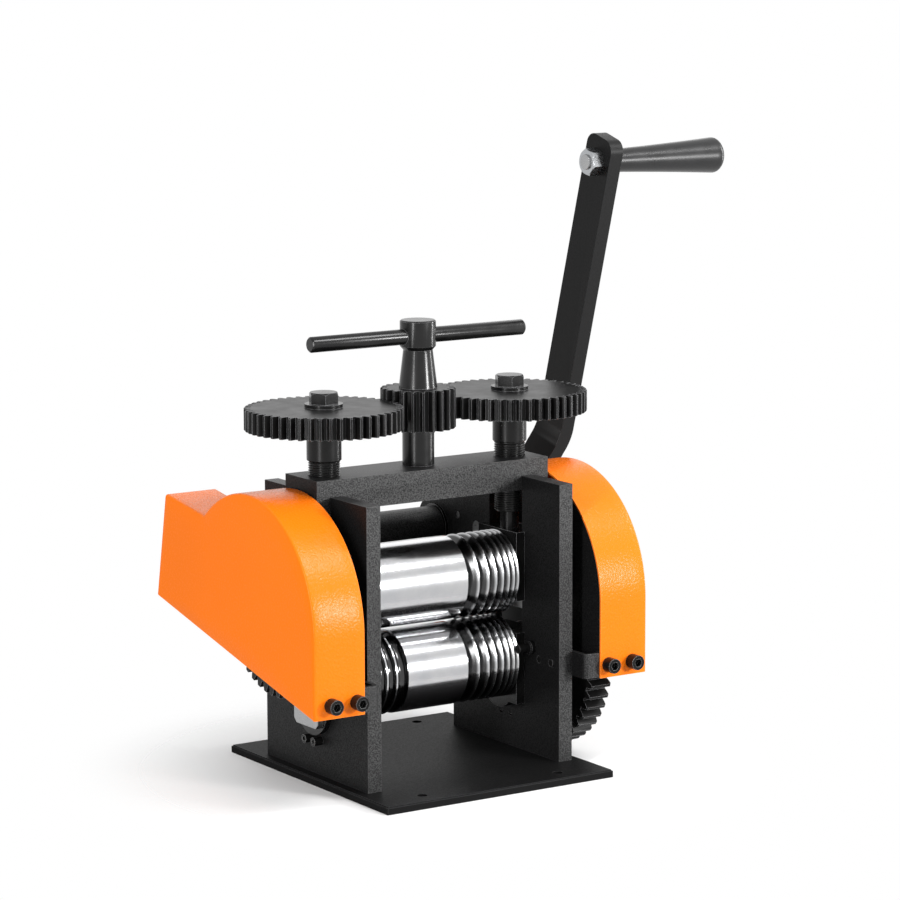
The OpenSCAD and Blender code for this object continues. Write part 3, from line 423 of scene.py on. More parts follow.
@dataclass(frozen=True)
class MouldedPlastic:
    """Moulded grip plastic: a smooth, slightly waxy skin with soft unevenness and fine scuffs."""

    name: str
    colour: Triple
    roughness: float
    rough_spread: Span = (0.03, 0.03)
    wave: float = 9 * MM
    wave_depth: float = 0.01 * MM
    scuff: float = 1.2 * MM
    scuff_streak: Triple = (0.25, 1.0, 1.0)
    scuff_range: Span = (0.5, 0.8)
    scuff_lift: float = 1.7

    def make(self) -> bpy.types.Material:
        """Build the material.

        Returns:
            The finished material.
        """
        r = Recipe(self.name)
        waves = r.noise(r.place, self.wave, detail=1.0)
        scuffs = r.noise(r.placed(self.scuff_streak), self.scuff, detail=3.0, rough=0.6)
        lighter = tuple(self.scuff_lift * c for c in self.colour)
        body = r.blend(r.fit(scuffs, self.scuff_range, WHOLE), self.colour, lighter)
        rough = r.about(waves, self.roughness, *self.rough_spread)
        return r.finished(body, rough, r.bump(waves, self.wave_depth))


class Finishes:
    """The mill's finishes: one for each material slot of the record, and a few for single pieces."""

    def __init__(self) -> None:
        """Build every shared material."""
        recipes = [
            PowderCoat(
                "powder_black", (0.007, 0.007, 0.0072), (0.05, 0.05, 0.052), roughness=0.46,
                grain=0.8 * MM, depth=0.2 * MM, gloss=0.46, fleck=0.55, side_gloss=0.25,
            ),
            PowderCoat(
                "powder_satin", (0.004, 0.004, 0.0041), (0.04, 0.04, 0.042), roughness=0.4,
                grain=1.2 * MM, depth=0.05 * MM, gloss=0.24,
            ),
            # A darker, duller copy of the black paint: painted shade on the base plate, which the mill shades from
            # above
            PowderCoat(
                "powder_base", (0.006, 0.006, 0.0061), (0.05, 0.05, 0.052), roughness=0.5,
                grain=0.9 * MM, depth=0.1 * MM, gloss=0.06,
            ),
            PowderCoat(
                "cover_orange", (0.98, 0.196, 0.006), (1.0, 0.32, 0.06), roughness=0.25,
                grain=1.4 * MM, depth=0.24 * MM, gloss=0.16, edge_width=0.7 * MM, cloud_share=0.97,
                side_peel=0.3, side_gloss=0.25,
            ),
            BlackOxide("oxide_black"),
            BlackOxide("oxide_threads", edge_wear_and_highlight=(0.02, 0.02, 0.02), roughness=0.26, gloss=0.22),
            # Light edges on the screws: a painted highlight on their rims, over worn steel
            BlackOxide(
                "oxide_screws", edge_wear_and_highlight=(0.4, 0.4, 0.4), roughness=0.3, gloss=0.14, edge_width=0.5 * MM,
            ),
            # Plain steel gets painted shade on its edges
            BareMetal(
                "plain_steel", (0.4, 0.4, 0.4), roughness=0.32, streak=(1, 0.08, 1), mark=0.5 * MM,
                depth=0.01 * MM, painted_edge_shade=0.25,
            ),
            BareMetal(
                "bronze", (0.6, 0.4, 0.17), roughness=0.28, streak=(1, 0.2, 0.2), mark=0.3 * MM,
                depth=0.008 * MM,
            ),
            self.roll_steel("roll_steel", None),
            # Bright zinc gets painted shade on its edges
            BareMetal(
                "bright_zinc", (0.45, 0.46, 0.47), roughness=0.26, streak=(1, 1, 1), mark=0.8 * MM,
                depth=0.006 * MM, painted_edge_shade=0.5,
            ),
            MouldedPlastic("grip_plastic", (0.008, 0.008, 0.0085), roughness=0.3),
        ]
        self.by_slot = {recipe.name: recipe.make() for recipe in recipes}

    @staticmethod
    def roll_steel(name: str, about: Optional[Triple]) -> BareMetal:
        """Describe hardened, ground roll steel, with a point on a grooved roll's axis where there is one."""
        # A grooved roll gets painted shade in its grooves, below the radius of its lands
        return BareMetal(
            name, (0.56, 0.56, 0.565), roughness=0.15, streak=(1, 0.02, 0.02), mark=0.3 * MM,
            depth=0.0022 * MM, turned_about=about, grooves_below=26.8 * MM,
        )

    def for_node(self, node: str) -> bpy.types.Material:
        """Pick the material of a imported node's slot."""
        return self.by_slot[slot_of(node)]

    def turned_oxide(self, node: str, axis: Axis, centre: Sequence[float]) -> bpy.types.Material:
        """Make black oxide for a node, over the rings that facing leaves about an axis through a point."""
        at = tuple(float(c) for c in centre)
        return BlackOxide(f"oxide_turned_{node}", roughness=0.36, gloss=0.14, turned=axis, centre=at).make()


# Surfaces


@dataclass(frozen=True)
class Place:
    """Where a piece's own axes lie. Its Z runs along the named axis from the origin."""

    origin: Triple
    axis: Axis
    side: Side = Side.RIGHT

    def put(self, points: np.ndarray) -> np.ndarray:
        """Move points to their side. Along X, local X, Y and Z become Y, Z and X."""
        turned = points[:, [2, 0, 1]] if self.axis is Axis.ALONG_X else points
        return (turned + np.array(self.origin)) * self.side.flip


def smooth(mesh: bpy.types.Mesh, degrees: float = 30) -> None:
    """Shade a mesh smoothly, apart from the edges that turn by more than the angle."""
    mesh.polygons.foreach_set("use_smooth", np.ones(len(mesh.polygons), bool))
    mesh.set_sharp_from_angle(angle=math.radians(degrees))


def grid_faces(rows: int, columns: int, closed_rows: bool, closed_columns: bool) -> np.ndarray:
    """Number the corners of a grid's faces, row after row.

    Args:
        rows: Number of rows of points.
        columns: Number of points in a row.
        closed_rows: Whether the last row joins the first.
        closed_columns: Whether a row's last point joins its first.

    Returns:
        Four corner numbers for each face.
    """
    k = np.arange(rows if closed_rows else rows - 1)
    i = np.arange(columns if closed_columns else columns - 1)
    k, i = (a.ravel() for a in np.meshgrid(k, i, indexing="ij"))
    row, next_row = k * columns, (k + 1) % rows * columns
    i_next = (i + 1) % columns
    return np.stack([row + i, row + i_next, next_row + i_next, next_row + i], 1)


def linked(name: str, data: bpy.types.ID) -> Piece:
    """Make an object of a mesh, lamp or camera, and link it to the scene.

    Args:
        name: Name of the object.
        data: What it shows.

    Returns:
        The object.
    """
    thing = bpy.data.objects.new(name, data)
    bpy.context.scene.collection.objects.link(thing)
    return thing


def new_piece(name: str, points: np.ndarray, faces: list, material: bpy.types.Material) -> Piece:
    """Make an object from points and faces.

    Args:
        name: Name of the piece.
        points: Points in rows.
        faces: Corner numbers of each face.
        material: Finish of the piece.

    Returns:
        The object, linked to the scene.
    """
    mesh = bpy.data.meshes.new(name)
    mesh.from_pydata(points.tolist(), [], faces)
    mesh.update()
    mesh.materials.append(material)
    smooth(mesh)
    return linked(name, mesh)


def stand_in_for(piece: Piece, node: str) -> None:
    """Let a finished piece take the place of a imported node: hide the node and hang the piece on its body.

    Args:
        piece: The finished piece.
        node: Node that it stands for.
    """
    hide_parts(node)
    slot_of(node)
    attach(piece, body_with(node))
    log.info("%s stands for %s with %d faces", piece.name, node, len(piece.data.polygons))


def show(name: str, surface: Surface, material: bpy.types.Material, node: str) -> None:
    """Make a piece of a surface and put it in the place of a node."""
    stand_in_for(new_piece(name, *surface, material), node)


def joined(parts: Sequence[Surface]) -> Surface:
    """Put several surfaces into one list of points and one of faces.

    Args:
        parts: Points and faces of each surface.

    Returns:
        All points and all faces.
    """
    starts = np.cumsum([0] + [len(points) for points, _ in parts])
    faces = [[int(c) + int(start) for c in face] for (_, own), start in zip(parts, starts) for face in own]
    return np.concatenate([points for points, _ in parts]), faces


def round_edges(piece: Piece, name: str, width: float, segments: int, **settings: object) -> None:
    """Give a piece a bevel.

    Args:
        piece: The piece.
        name: Name of the modifier.
        width: Width of the rounding.
        segments: Number of its faces.
        **settings: Further properties of the modifier.
    """
    bevel = piece.modifiers.new(name, "BEVEL")
    settings.update(width=width, segments=segments)
    for key, value in settings.items():
        setattr(bevel, key, value)


@dataclass
class Rings:
    """A surface made of rings about an axis, from one end to the other.

    A ring has a height, and one radius for each angle or the same all round.
    """

    place: Place
    angles: np.ndarray
    rings: list[tuple[np.ndarray, np.ndarray]] = field(default_factory=list)
    outline_angles: Optional[np.ndarray] = None

    def ring(self, radius: Union[float, np.ndarray], height: float, outlined: bool = False) -> "Rings":
        """Add a ring.

        Args:
            radius: Its radius, or one radius for each angle.
            height: Its height along the axis.
            outlined: Whether its points lie at the outline's own angles.

        Returns:
            This surface, for the next ring.
        """
        use = self.outline_angles if outlined else self.angles
        r = np.broadcast_to(radius, use.shape)
        flat = np.stack([r * np.cos(use), r * np.sin(use)], 1)
        self.rings.append((flat, np.broadcast_to(height, use.shape)))
        return self

    def rod(self, profile: Sequence[Span]) -> "Rings":
        """Add round rings.

        Args:
            profile: Radius and height of each.

        Returns:
            This surface.
        """
        for radius, height in profile:
            self.ring(radius, height)
        return self

    def surface(self, bored: bool) -> Surface:
        """Work out points and faces. A point is the ring's radius along its angle, at its height.

        Args:
            bored: Whether the last ring closes on the first, as round a bore. Else both ends get caps.

        Returns:
            Placed points and outward faces.
        """
        points = np.stack([np.column_stack([flat, height]) for flat, height in self.rings])
        rows, columns = points.shape[:2]
        faces = grid_faces(rows, columns, bored, True).tolist()
        if not bored:
            faces.append(list(range(columns))[::-1])
            faces.append(list(range((rows - 1) * columns, rows * columns)))
        if self.place.side is Side.LEFT:
            faces = [face[::-1] for face in faces]
        return self.place.put(points.reshape(-1, 3)), faces


def round_angles(count: int) -> np.ndarray:
    """Space angles evenly round a circle."""
    return np.arange(count) * math.tau / count


def rod_along_x(at: np.ndarray, count: int, profile: Sequence[Span], side: Side = Side.RIGHT) -> Surface:
    """Turn a profile of radius and place about the axis along X through a point."""
    place = Place((0, at[1], at[2]), Axis.ALONG_X, side)
    return Rings(place, round_angles(count)).rod(profile).surface(bored=False)


@dataclass
class SubAssembly:
    """A sub-assembly of the mill, with the finishes that its pieces take theirs from."""

    finishes: Finishes


# Gears


@dataclass(frozen=True)
class Teeth:
    """Involute teeth of a spur gear."""

    count: int
    module: float
    thinning: float = 0.12 * MM
    pressure: float = math.radians(20)
    flank_points: int = 7
    root_share: float = 1.25
    flank_start: float = 0.02

    @property
    def pitch_radius(self) -> float:
        """Radius of the pitch circle."""
        return self.count * self.module / 2

    @property
    def tip_radius(self) -> float:
        """Radius over the tips."""
        return self.pitch_radius + self.module

    @property
    def base_radius(self) -> float:
        """Radius of the circle that the flanks unroll from."""
        return self.pitch_radius * math.cos(self.pressure)

    def half_angle(self, radius: np.ndarray) -> np.ndarray:
        """Work out half the angle of a tooth at a radius.

        The involute leaves its base circle with the roll angle tan(a) - a, where a is the angle whose
        cosine is base radius over radius. Half the tooth is its half angle at the pitch circle, plus
        the roll angle there, less the roll angle at the radius.

        Args:
            radius: Radii of the points.

        Returns:
            Half angles in radians.
        """
        roll = math.tan(self.pressure) - self.pressure
        turn = np.arccos(np.clip(self.base_radius / radius, -1, 1))
        at_pitch = (math.pi * self.module / 2 - self.thinning) / 2 / self.pitch_radius
        return at_pitch + roll - (np.tan(turn) - turn)

    def outline(self, phase: float) -> tuple[np.ndarray, np.ndarray, np.ndarray]:
        """Work out the outline, tooth after tooth: up one flank and down the other.

        Args:
            phase: Angle of one tooth's middle in radians.

        Returns:
            Radius and angle of each point, and evenly spaced angles that match them in number.
        """
        root = self.pitch_radius - self.root_share * self.module
        low = max(root, self.base_radius) + self.flank_start * self.module
        up = np.concatenate([[root], np.linspace(low, self.tip_radius, self.flank_points)])
        half = self.half_angle(up)
        radii = np.concatenate([up, up[::-1]])
        offsets = np.concatenate([-half, half[::-1]])
        mids = phase + np.arange(self.count) * math.tau / self.count
        angles = (mids[:, None] + offsets[None, :]).ravel()
        even_step = math.tau / self.count / len(radii)
        even_offsets = (np.arange(len(radii)) - (len(radii) - 1) / 2) * even_step
        even = (mids[:, None] + even_offsets[None, :]).ravel()
        return np.tile(radii, self.count), angles, even


@dataclass
class Gear:
    """A spur gear with chamfered tips, a bored middle, and a hub or a sunk web where it has them."""

    teeth: Teeth
    phase: float
    place: Place
    low: float
    high: float
    bore: float
    hub: Optional[float] = None
    hub_low: Optional[float] = None
    web: Optional[Span] = None
    web_sink: float = 3 * MM
    chamfer: float = 0.7 * MM
    edge: float = 0.4 * MM

    def surface(self) -> Surface:
        """Carry the tooth outline from face to face and close it round the hub, the web and the bore.

        Returns:
            Placed points and faces.
        """
        radii, angles, even = self.teeth.outline(self.phase)
        blunt = np.minimum(radii, self.teeth.tip_radius - self.chamfer)
        shape = Rings(self.place, even, outline_angles=angles)
        start = self.low if self.hub_low is None else self.hub_low
        shape.ring(self.bore, start + self.edge).ring(self.bore + self.edge, start)
        if self.hub is not None:
            shape.ring(self.hub - self.edge, start).ring(self.hub, start + self.edge)
            shape.ring(self.hub, self.low)
        shape.ring(blunt, self.low, True).ring(radii, self.low + self.chamfer, True)
        shape.ring(radii, self.high - self.chamfer, True).ring(blunt, self.high, True)
        if self.web is not None:
            outer, inner = self.web
            floor = self.high - self.web_sink
            shape.ring(outer, self.high).ring(outer - self.edge, floor)
            shape.ring(inner + self.edge, floor).ring(inner, self.high)
        shape.ring(self.bore + self.edge, self.high).ring(self.bore, self.high - self.edge)
        return shape.surface(bored=True)


def heading(start: np.ndarray, end: np.ndarray) -> float:
    """Find the direction from one axis to another across the rolls, from the back towards the top."""
    return math.atan2(end[2] - start[2], end[1] - start[1])


@dataclass
class GearTrain(SubAssembly):
    """All the gears of the mill, with the turns that put their teeth in mesh at rest."""

    drive: float = 2.5 * MM
    screw: float = 2.0 * MM
    roll_count: int = 48
    pinion_count: int = 20
    screw_count: int = 48
    roll_sizes: Span = (11 * MM, 20 * MM)
    idler_sizes: Span = (7.05 * MM, 12 * MM)
    shaft_sizes: Span = (10 * MM, 16 * MM)
    screw_bore: float = 7 * MM
    web_shares: Span = (0.8, 0.42)

    def build(self) -> None:
        """Make each gear in the place of its node. Where two mesh, one has a tooth in the other's gap."""
        lower, upper = joint_place("lower_roll_turn"), joint_place("upper_roll_turn")
        shaft, idler = joint_place("crank_turn"), joint_place("idler_turn")
        tooth = math.pi / self.pinion_count
        to_left = heading(upper, shaft)
        to_idler = heading(lower, idler)
        to_shaft = heading(idler, shaft)
        idler_turn = to_idler + math.pi + tooth
        right_turn = to_shaft + math.pi + tooth - (idler_turn - to_shaft)
        left_turn = to_left + math.pi + tooth
        count, like = self.roll_count, "lower_roll_gear"
        web = tuple(share * Teeth(count, self.drive).pitch_radius for share in self.web_shares)
        lower_wheel = self.spur(count, to_idler, lower, Side.RIGHT, self.roll_sizes, like, web)
        upper_wheel = self.spur(count, to_left, upper, Side.LEFT, self.roll_sizes, like, web)
        count, like = self.pinion_count, "idler_gear"
        idler_wheel = self.spur(count, idler_turn, idler, Side.RIGHT, self.idler_sizes, like)
        right_pinion = self.spur(count, right_turn, shaft, Side.RIGHT, self.shaft_sizes, like)
        left_pinion = self.spur(count, left_turn, shaft, Side.LEFT, self.shaft_sizes, like)
        self.across("lower_wheel", "lower_roll_gear", lower_wheel)
        self.across("upper_wheel", "upper_roll_gear", upper_wheel)
        self.across("idler_wheel", "idler_gear", idler_wheel)
        self.across("shaft_pinions", "drive_pinions", right_pinion, left_pinion)
        self.upright()

    def spur(
        self, count: int, phase: float, at: np.ndarray, side: Side, sizes: Span, hub_like: str,
        web: Optional[Span] = None,
    ) -> Gear:
        """Describe a gear across the mill, as wide as the gear keys are long.

        Args:
            count: Number of its teeth.
            phase: Angle of one tooth.
            at: Point on its axis.
            side: Side of the mill.
            sizes: Radius of its bore and of its hub.
            hub_like: Node whose hub starts where this one's does.
            web: Outer and inner radius of its sunk web.

        Returns:
            The gear.
        """
        low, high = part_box("lower_gear_key")
        place = Place((0, at[1], at[2]), Axis.ALONG_X, side)
        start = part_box(hub_like)[0].x
        return Gear(Teeth(count, self.drive), phase, place, low.x, high.x, *sizes, start, web)

    def across(self, name: str, node: str, *gears: Gear) -> None:
        """Make one piece of gears that stand on one body across the mill, in the place of a node."""
        finish = self.finishes.turned_oxide(node, Axis.ALONG_X, gears[0].place.origin)
        show(name, joined([gear.surface() for gear in gears]), finish, node)

    def upright(self) -> None:
        """Make the two screw gears and the long pinion between them."""
        for side in Side:
            node = side.own("screw_gear")
            at = middle(node)
            phase = math.pi + math.pi / self.screw_count
            place = Place((abs(at[0]), 0, 0), Axis.ALONG_Z, side)
            self.on_screws(side.own("screw_wheel"), node, self.screw_count, phase, place, at)
        count = round(2 * abs(middle("right_screw_gear")[0]) / self.screw) - self.screw_count
        centre = (0, 0, 0)
        self.on_screws("long_pinion", "spindle_pinion", count, 0.0, Place(centre, Axis.ALONG_Z), centre)

    def on_screws(
        self, name: str, node: str, count: int, phase: float, place: Place, centre: Sequence[float]
    ) -> None:
        """Make a gear with an upright axis.

        Args:
            name: Name of the piece.
            node: Node that it stands for.
            count: Number of its teeth.
            phase: Angle of one tooth.
            place: Where it lies.
            centre: Point that its turned marks run round.
        """
        low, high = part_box(node)
        gear = Gear(Teeth(count, self.screw), phase, place, low.z, high.z, self.screw_bore)
        finish = self.finishes.turned_oxide(node, Axis.ALONG_Z, centre)
        show(name, gear.surface(), finish, node)


# Rolls


@dataclass
class Roll(SubAssembly):
    """A hardened roll with its grooves, journals, gear seat and threaded end, turned in one piece."""

    node: str
    gear_side: Side
    half_round: bool
    radius: float = 27 * MM
    journal: float = 12.5 * MM
    seat: float = 11 * MM
    thread: float = 8 * MM
    thread_chamfer: float = 1.2 * MM
    square_land: float = 0.4 * MM
    round_land: float = 1.1 * MM
    corner: float = 0.5 * MM
    square_sizes: tuple[float, ...] = (6, 5, 4, 3.5, 3, 2.5, 2)
    round_sizes: tuple[float, ...] = (8, 6, 5, 4, 3, 2)
    segments: int = 192
    arc_points: int = 13

    def grooved(self, half: float) -> list[Span]:
        """Draw the roll's face from its left end to its right end, as radius and place along X.

        A square groove is a right-angled V as wide as the diagonal of its wire. A half-round groove
        is half a circle about a point on the face.

        Args:
            half: Half the length of the roll's face.

        Returns:
            Profile points.
        """
        right: list[Span] = []
        end = half - self.square_land
        for size in reversed(self.square_sizes):
            width = size * MM * math.sqrt(2)
            root = (self.radius - width / 2, end - width / 2)
            right += [(self.radius, end), root, (self.radius, end - width)]
            end -= width + self.square_land
        left: list[Span] = []
        start = -half + self.round_land
        turn = np.linspace(math.pi, 0, self.arc_points)
        for size in reversed(self.round_sizes) if self.half_round else []:
            reach = size * MM / 2
            left += list(zip(self.radius - reach * np.sin(turn), start + reach + reach * np.cos(turn)))
            start += 2 * reach + self.round_land
        c = self.corner
        edge_left = [(self.radius - c, -half), (self.radius, -half + c)]
        edge_right = [(self.radius, half - c / 2), (self.radius - c / 2, half)]
        return edge_left + [(float(r), float(z)) for r, z in left] + right[::-1] + edge_right

    def build(self) -> None:
        """Make the roll. Its whole profile is turned about the axis."""
        low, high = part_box(self.node)
        right_end, left_end = high.x, -low.x
        on_right = self.gear_side is Side.RIGHT
        gear_end, plain_end = (right_end, left_end) if on_right else (left_end, right_end)
        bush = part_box("lower_bushes")[1].x
        seat_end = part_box("drive_keys")[1].x
        at = joint_place(f"{self.node}_turn")
        half = self.face_half(at)
        chamfer = self.thread_chamfer
        neck = [(self.journal, half), (self.journal, bush), (self.seat, bush)]
        gear_arm = neck + [
            (self.seat, seat_end), (self.thread, seat_end),
            (self.thread, gear_end - chamfer), (self.thread - chamfer, gear_end),
        ]
        plain_arm = neck + [(self.seat - self.corner, plain_end)]
        right, left = (gear_arm, plain_arm) if on_right else (plain_arm, gear_arm)
        profile = [(r, -z) for r, z in reversed(left)] + self.grooved(half) + right
        finish = self.finishes.roll_steel(f"{self.node}_steel", tuple(float(c) for c in at)).make()
        show(f"{self.node}_turned", rod_along_x(at, self.segments, profile), finish, self.node)

    def face_half(self, at: np.ndarray) -> float:
        """Find half the length of the face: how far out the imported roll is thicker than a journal.

        Args:
            at: Point on the roll's axis.

        Returns:
            Half the length.
        """
        points = np.empty(len(frame["nodes"][self.node].data.vertices) * 3, np.float32)
        frame["nodes"][self.node].data.vertices.foreach_get("co", points)
        points = points.reshape(-1, 3)
        away = np.hypot(points[:, 1] - at[1], points[:, 2] - at[2])
        return float(np.abs(points[away > self.journal + MM, 0]).max())


# Screw-down


@dataclass
class AdjustingScrew(SubAssembly):
    """An adjusting screw with its real thread, boss and neck."""

    side: Side
    major: float = 10 * MM
    pitch: float = 1.5 * MM
    depth: float = 0.85 * MM
    neck: float = 6 * MM
    neck_rise: float = 11 * MM
    thread_rise: float = 9.5 * MM
    boss: float = 11 * MM
    spigot: float = 7 * MM
    segments: int = 72
    steps: int = 10
    corner: float = 0.5 * MM
    flank_slope: float = 2.6
    crest_flat: float = 0.8
    run_out: float = 0.05

    def build(self) -> None:
        """Make the screw.

        Along the thread the radius falls from the major radius by the depth times a triangle wave of
        height over pitch less angle over a full turn, with flat crests and roots. The depth fades
        to nothing over the first and last pitch.
        """
        node = self.side.own("adjusting_screw")
        low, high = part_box(node)
        gear_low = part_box(self.side.own("screw_gear"))[0].z
        neck_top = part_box(f"upper_{self.side.own('block')}")[1].z + self.neck_rise
        thread_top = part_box("top_beam")[1].z + self.thread_rise
        angles = round_angles(self.segments)
        shape = Rings(Place((abs(middle(node)[0]), 0, 0), Axis.ALONG_Z, self.side), angles)
        c = self.corner
        shape.rod([(self.neck - c, low.z), (self.neck, low.z + c), (self.neck, neck_top)])
        shape.rod([(self.major - self.depth, neck_top), (self.major - self.depth / 2, neck_top + c)])
        count = round((thread_top - neck_top - 2 * c) / self.pitch * self.steps)
        for height in np.linspace(neck_top + 2 * c, thread_top, count):
            wave = ((height / self.pitch) - self.side.value * angles / math.tau) % 1.0
            drop = np.clip(self.flank_slope * (1 - np.abs(2 * wave - 1)) - self.crest_flat, 0, 1)
            ends = ((height - neck_top) / self.pitch, (thread_top - height) / self.pitch + self.run_out)
            shape.ring(self.major - self.depth * drop * min(1.0, *ends), height)
        shape.rod([(self.boss - c, thread_top), (self.boss, thread_top + c), (self.boss, gear_low - c)])
        shape.rod([(self.boss - c, gear_low), (self.spigot, gear_low), (self.spigot, high.z)])
        finish = self.finishes.by_slot["oxide_threads"]
        show(self.side.own("threaded_screw"), shape.surface(bored=False), finish, node)


# Covers


@dataclass
class GearCover(SubAssembly):
    """A sheet metal gear cover: a rim bent round the gears and a flat face, open at the plate and below."""

    side: Side
    hole: bool
    sheet: float = 1.2 * MM
    bend: float = 1.6 * MM
    bend_steps: int = 5
    flat_steps: int = 5
    face_rows: int = 8
    front_points: int = 6
    arc_points: int = 72
    roof_points: int = 10
    corner_points: int = 7
    back_points: int = 14
    shift: float = 3.6 * MM
    lip_rise: float = 1 * MM
    valley_turn: float = math.radians(47)
    tail_top: Span = (0.873, 1.36)
    tail_low: Span = (1.33, -1.11)
    tail_corner: float = 2.5 * MM
    foot_span: Span = (0.012, 0.976)
    hole_gap: float = 2 * MM
    hole_points: int = 64
    cutter_reach: float = 4 * MM
    edge: float = 0.25 * MM
    edge_angle: float = math.radians(50)

    @property
    def node(self) -> str:
        """Name of the cover's node."""
        return self.side.own("cover")

    @property
    def arch(self) -> Triple:
        """Radius of the arch, height of its centre, and height of the front lip's lower edge."""
        low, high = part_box(self.node)
        return -low.y, high.z + low.y, low.z + self.lip_rise

    def outline(self) -> tuple[np.ndarray, np.ndarray]:
        """Draw the rim's path across the mill and its inward directions.

        It goes up the front, over the arch about a point just behind the rolls, down into the valley,
        up to the tail's top corner and down its back. The corner is rounded by an arc. The tail's ends
        lie about the drive shaft, at shares of its pinion's tip radius.

        Returns:
            Path points and their inward directions, both in Y and Z.
        """
        reach, arc_z, low_z = self.arch
        shaft = joint_place("crank_turn")[1:]
        tip = Teeth(GearTrain.pinion_count, GearTrain.drive).tip_radius
        top = shaft + tip * np.array(self.tail_top)
        low = shaft + tip * np.array(self.tail_low)
        front_y = self.shift - reach
        front = np.linspace([front_y, low_z], [front_y, arc_z], self.front_points)[:-1]
        turn = np.linspace(math.pi, self.valley_turn, self.arc_points)
        arch = np.stack([self.shift + reach * np.cos(turn), arc_z + reach * np.sin(turn)], 1)
        valley = arch[-1]
        into = (top - valley) / np.linalg.norm(top - valley)
        down = (low - top) / np.linalg.norm(low - top)
        before = top - into * self.tail_corner
        after = top + down * self.tail_corner
        ease = np.linspace(0, 1, self.corner_points)[:, None]
        bent = (1 - ease) ** 2 * before + 2 * ease * (1 - ease) * top + ease**2 * after
        roof = np.linspace(valley, before, self.roof_points)[1:-1]
        back = np.linspace(after, low, self.back_points)[1:]
        path = np.concatenate([front, arch, roof, bent, back])
        ahead = np.diff(path, axis=0)
        ahead /= np.linalg.norm(ahead, axis=1)[:, None]
        mean = np.concatenate([ahead[:1], (ahead[1:] + ahead[:-1]), ahead[-1:]])
        mean /= np.linalg.norm(mean, axis=1)[:, None]
        return path, np.stack([mean[:, 1], -mean[:, 0]], 1)

    def build(self) -> None:
        """Make the cover.

        Each point of the path carries a profile: along X out to the bend, round a quarter circle of
        the bend radius, and then in a straight line to the cover's slanted lower edge. The sheet's
        thickness goes inwards from that outer skin.
        """
        low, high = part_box(self.node)
        x_in, x_out = sorted((abs(low.x), abs(high.x)))
        path, inward = self.outline()
        turn = np.linspace(0, math.pi / 2, self.bend_steps)
        straight = np.linspace(x_in, x_out - self.bend, self.flat_steps + 1)[:-1]
        along = np.concatenate([straight, x_out - self.bend + self.bend * np.sin(turn)])
        inset = np.concatenate([np.zeros(self.flat_steps), self.bend - self.bend * np.cos(turn)])
        rim = path[None] + inset[:, None, None] * inward[None]
        rim = np.concatenate([np.broadcast_to(along[:, None, None], (*rim.shape[:2], 1)), rim], 2)
        run = np.concatenate([[0], np.cumsum(np.linalg.norm(np.diff(path, axis=0), axis=1))])
        share = self.foot_span[0] + self.foot_span[1] * run / run[-1]
        foot = path[0] + share[:, None] * (path[-1] - path[0])
        foot = np.column_stack([np.full(len(foot), x_out), foot])
        rows = np.linspace(0, 1, self.face_rows)[1:, None, None]
        points = np.concatenate([rim, rim[-1][None] * (1 - rows) + foot[None] * rows])
        faces = grid_faces(*points.shape[:2], False, False)
        faces = faces if self.side is Side.LEFT else faces[:, ::-1]
        placed = points.reshape(-1, 3) * self.side.flip
        piece = new_piece(f"{self.node}_sheet", placed, faces.tolist(), self.finishes.for_node(self.node))
        wall = piece.modifiers.new("sheet", "SOLIDIFY")
        wall.thickness = self.sheet
        wall.offset = -1
        wall.use_even_offset = True
        if self.hole:
            self.cut_hole(piece, x_out)
        limits = {"limit_method": "ANGLE", "angle_limit": self.edge_angle}
        round_edges(piece, "edges", self.edge, segments=2, **limits)
        stand_in_for(piece, self.node)

    def cut_hole(self, piece: Piece, x_out: float) -> None:
        """Cut the drive shaft's hole through the face and keep the result as plain mesh.

        Args:
            piece: The cover.
            x_out: Where its face lies.
        """
        at = joint_place("crank_turn")
        radius = -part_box("drive_shaft")[0].z + at[2] + self.hole_gap
        ends = [(radius, x_out - self.cutter_reach), (radius, x_out + self.cutter_reach)]
        rod = rod_along_x(at, self.hole_points, ends, self.side)
        cutter = new_piece("shaft_hole", *rod, piece.data.materials[0])
        cut = piece.modifiers.new("hole", "BOOLEAN")
        cut.object = cutter
        cut.solver = "EXACT"
        held = bpy.data.meshes.new_from_object(piece.evaluated_get(bpy.context.evaluated_depsgraph_get()))
        piece.modifiers.clear()
        piece.data = held
        smooth(held)
        bpy.data.objects.remove(cutter)


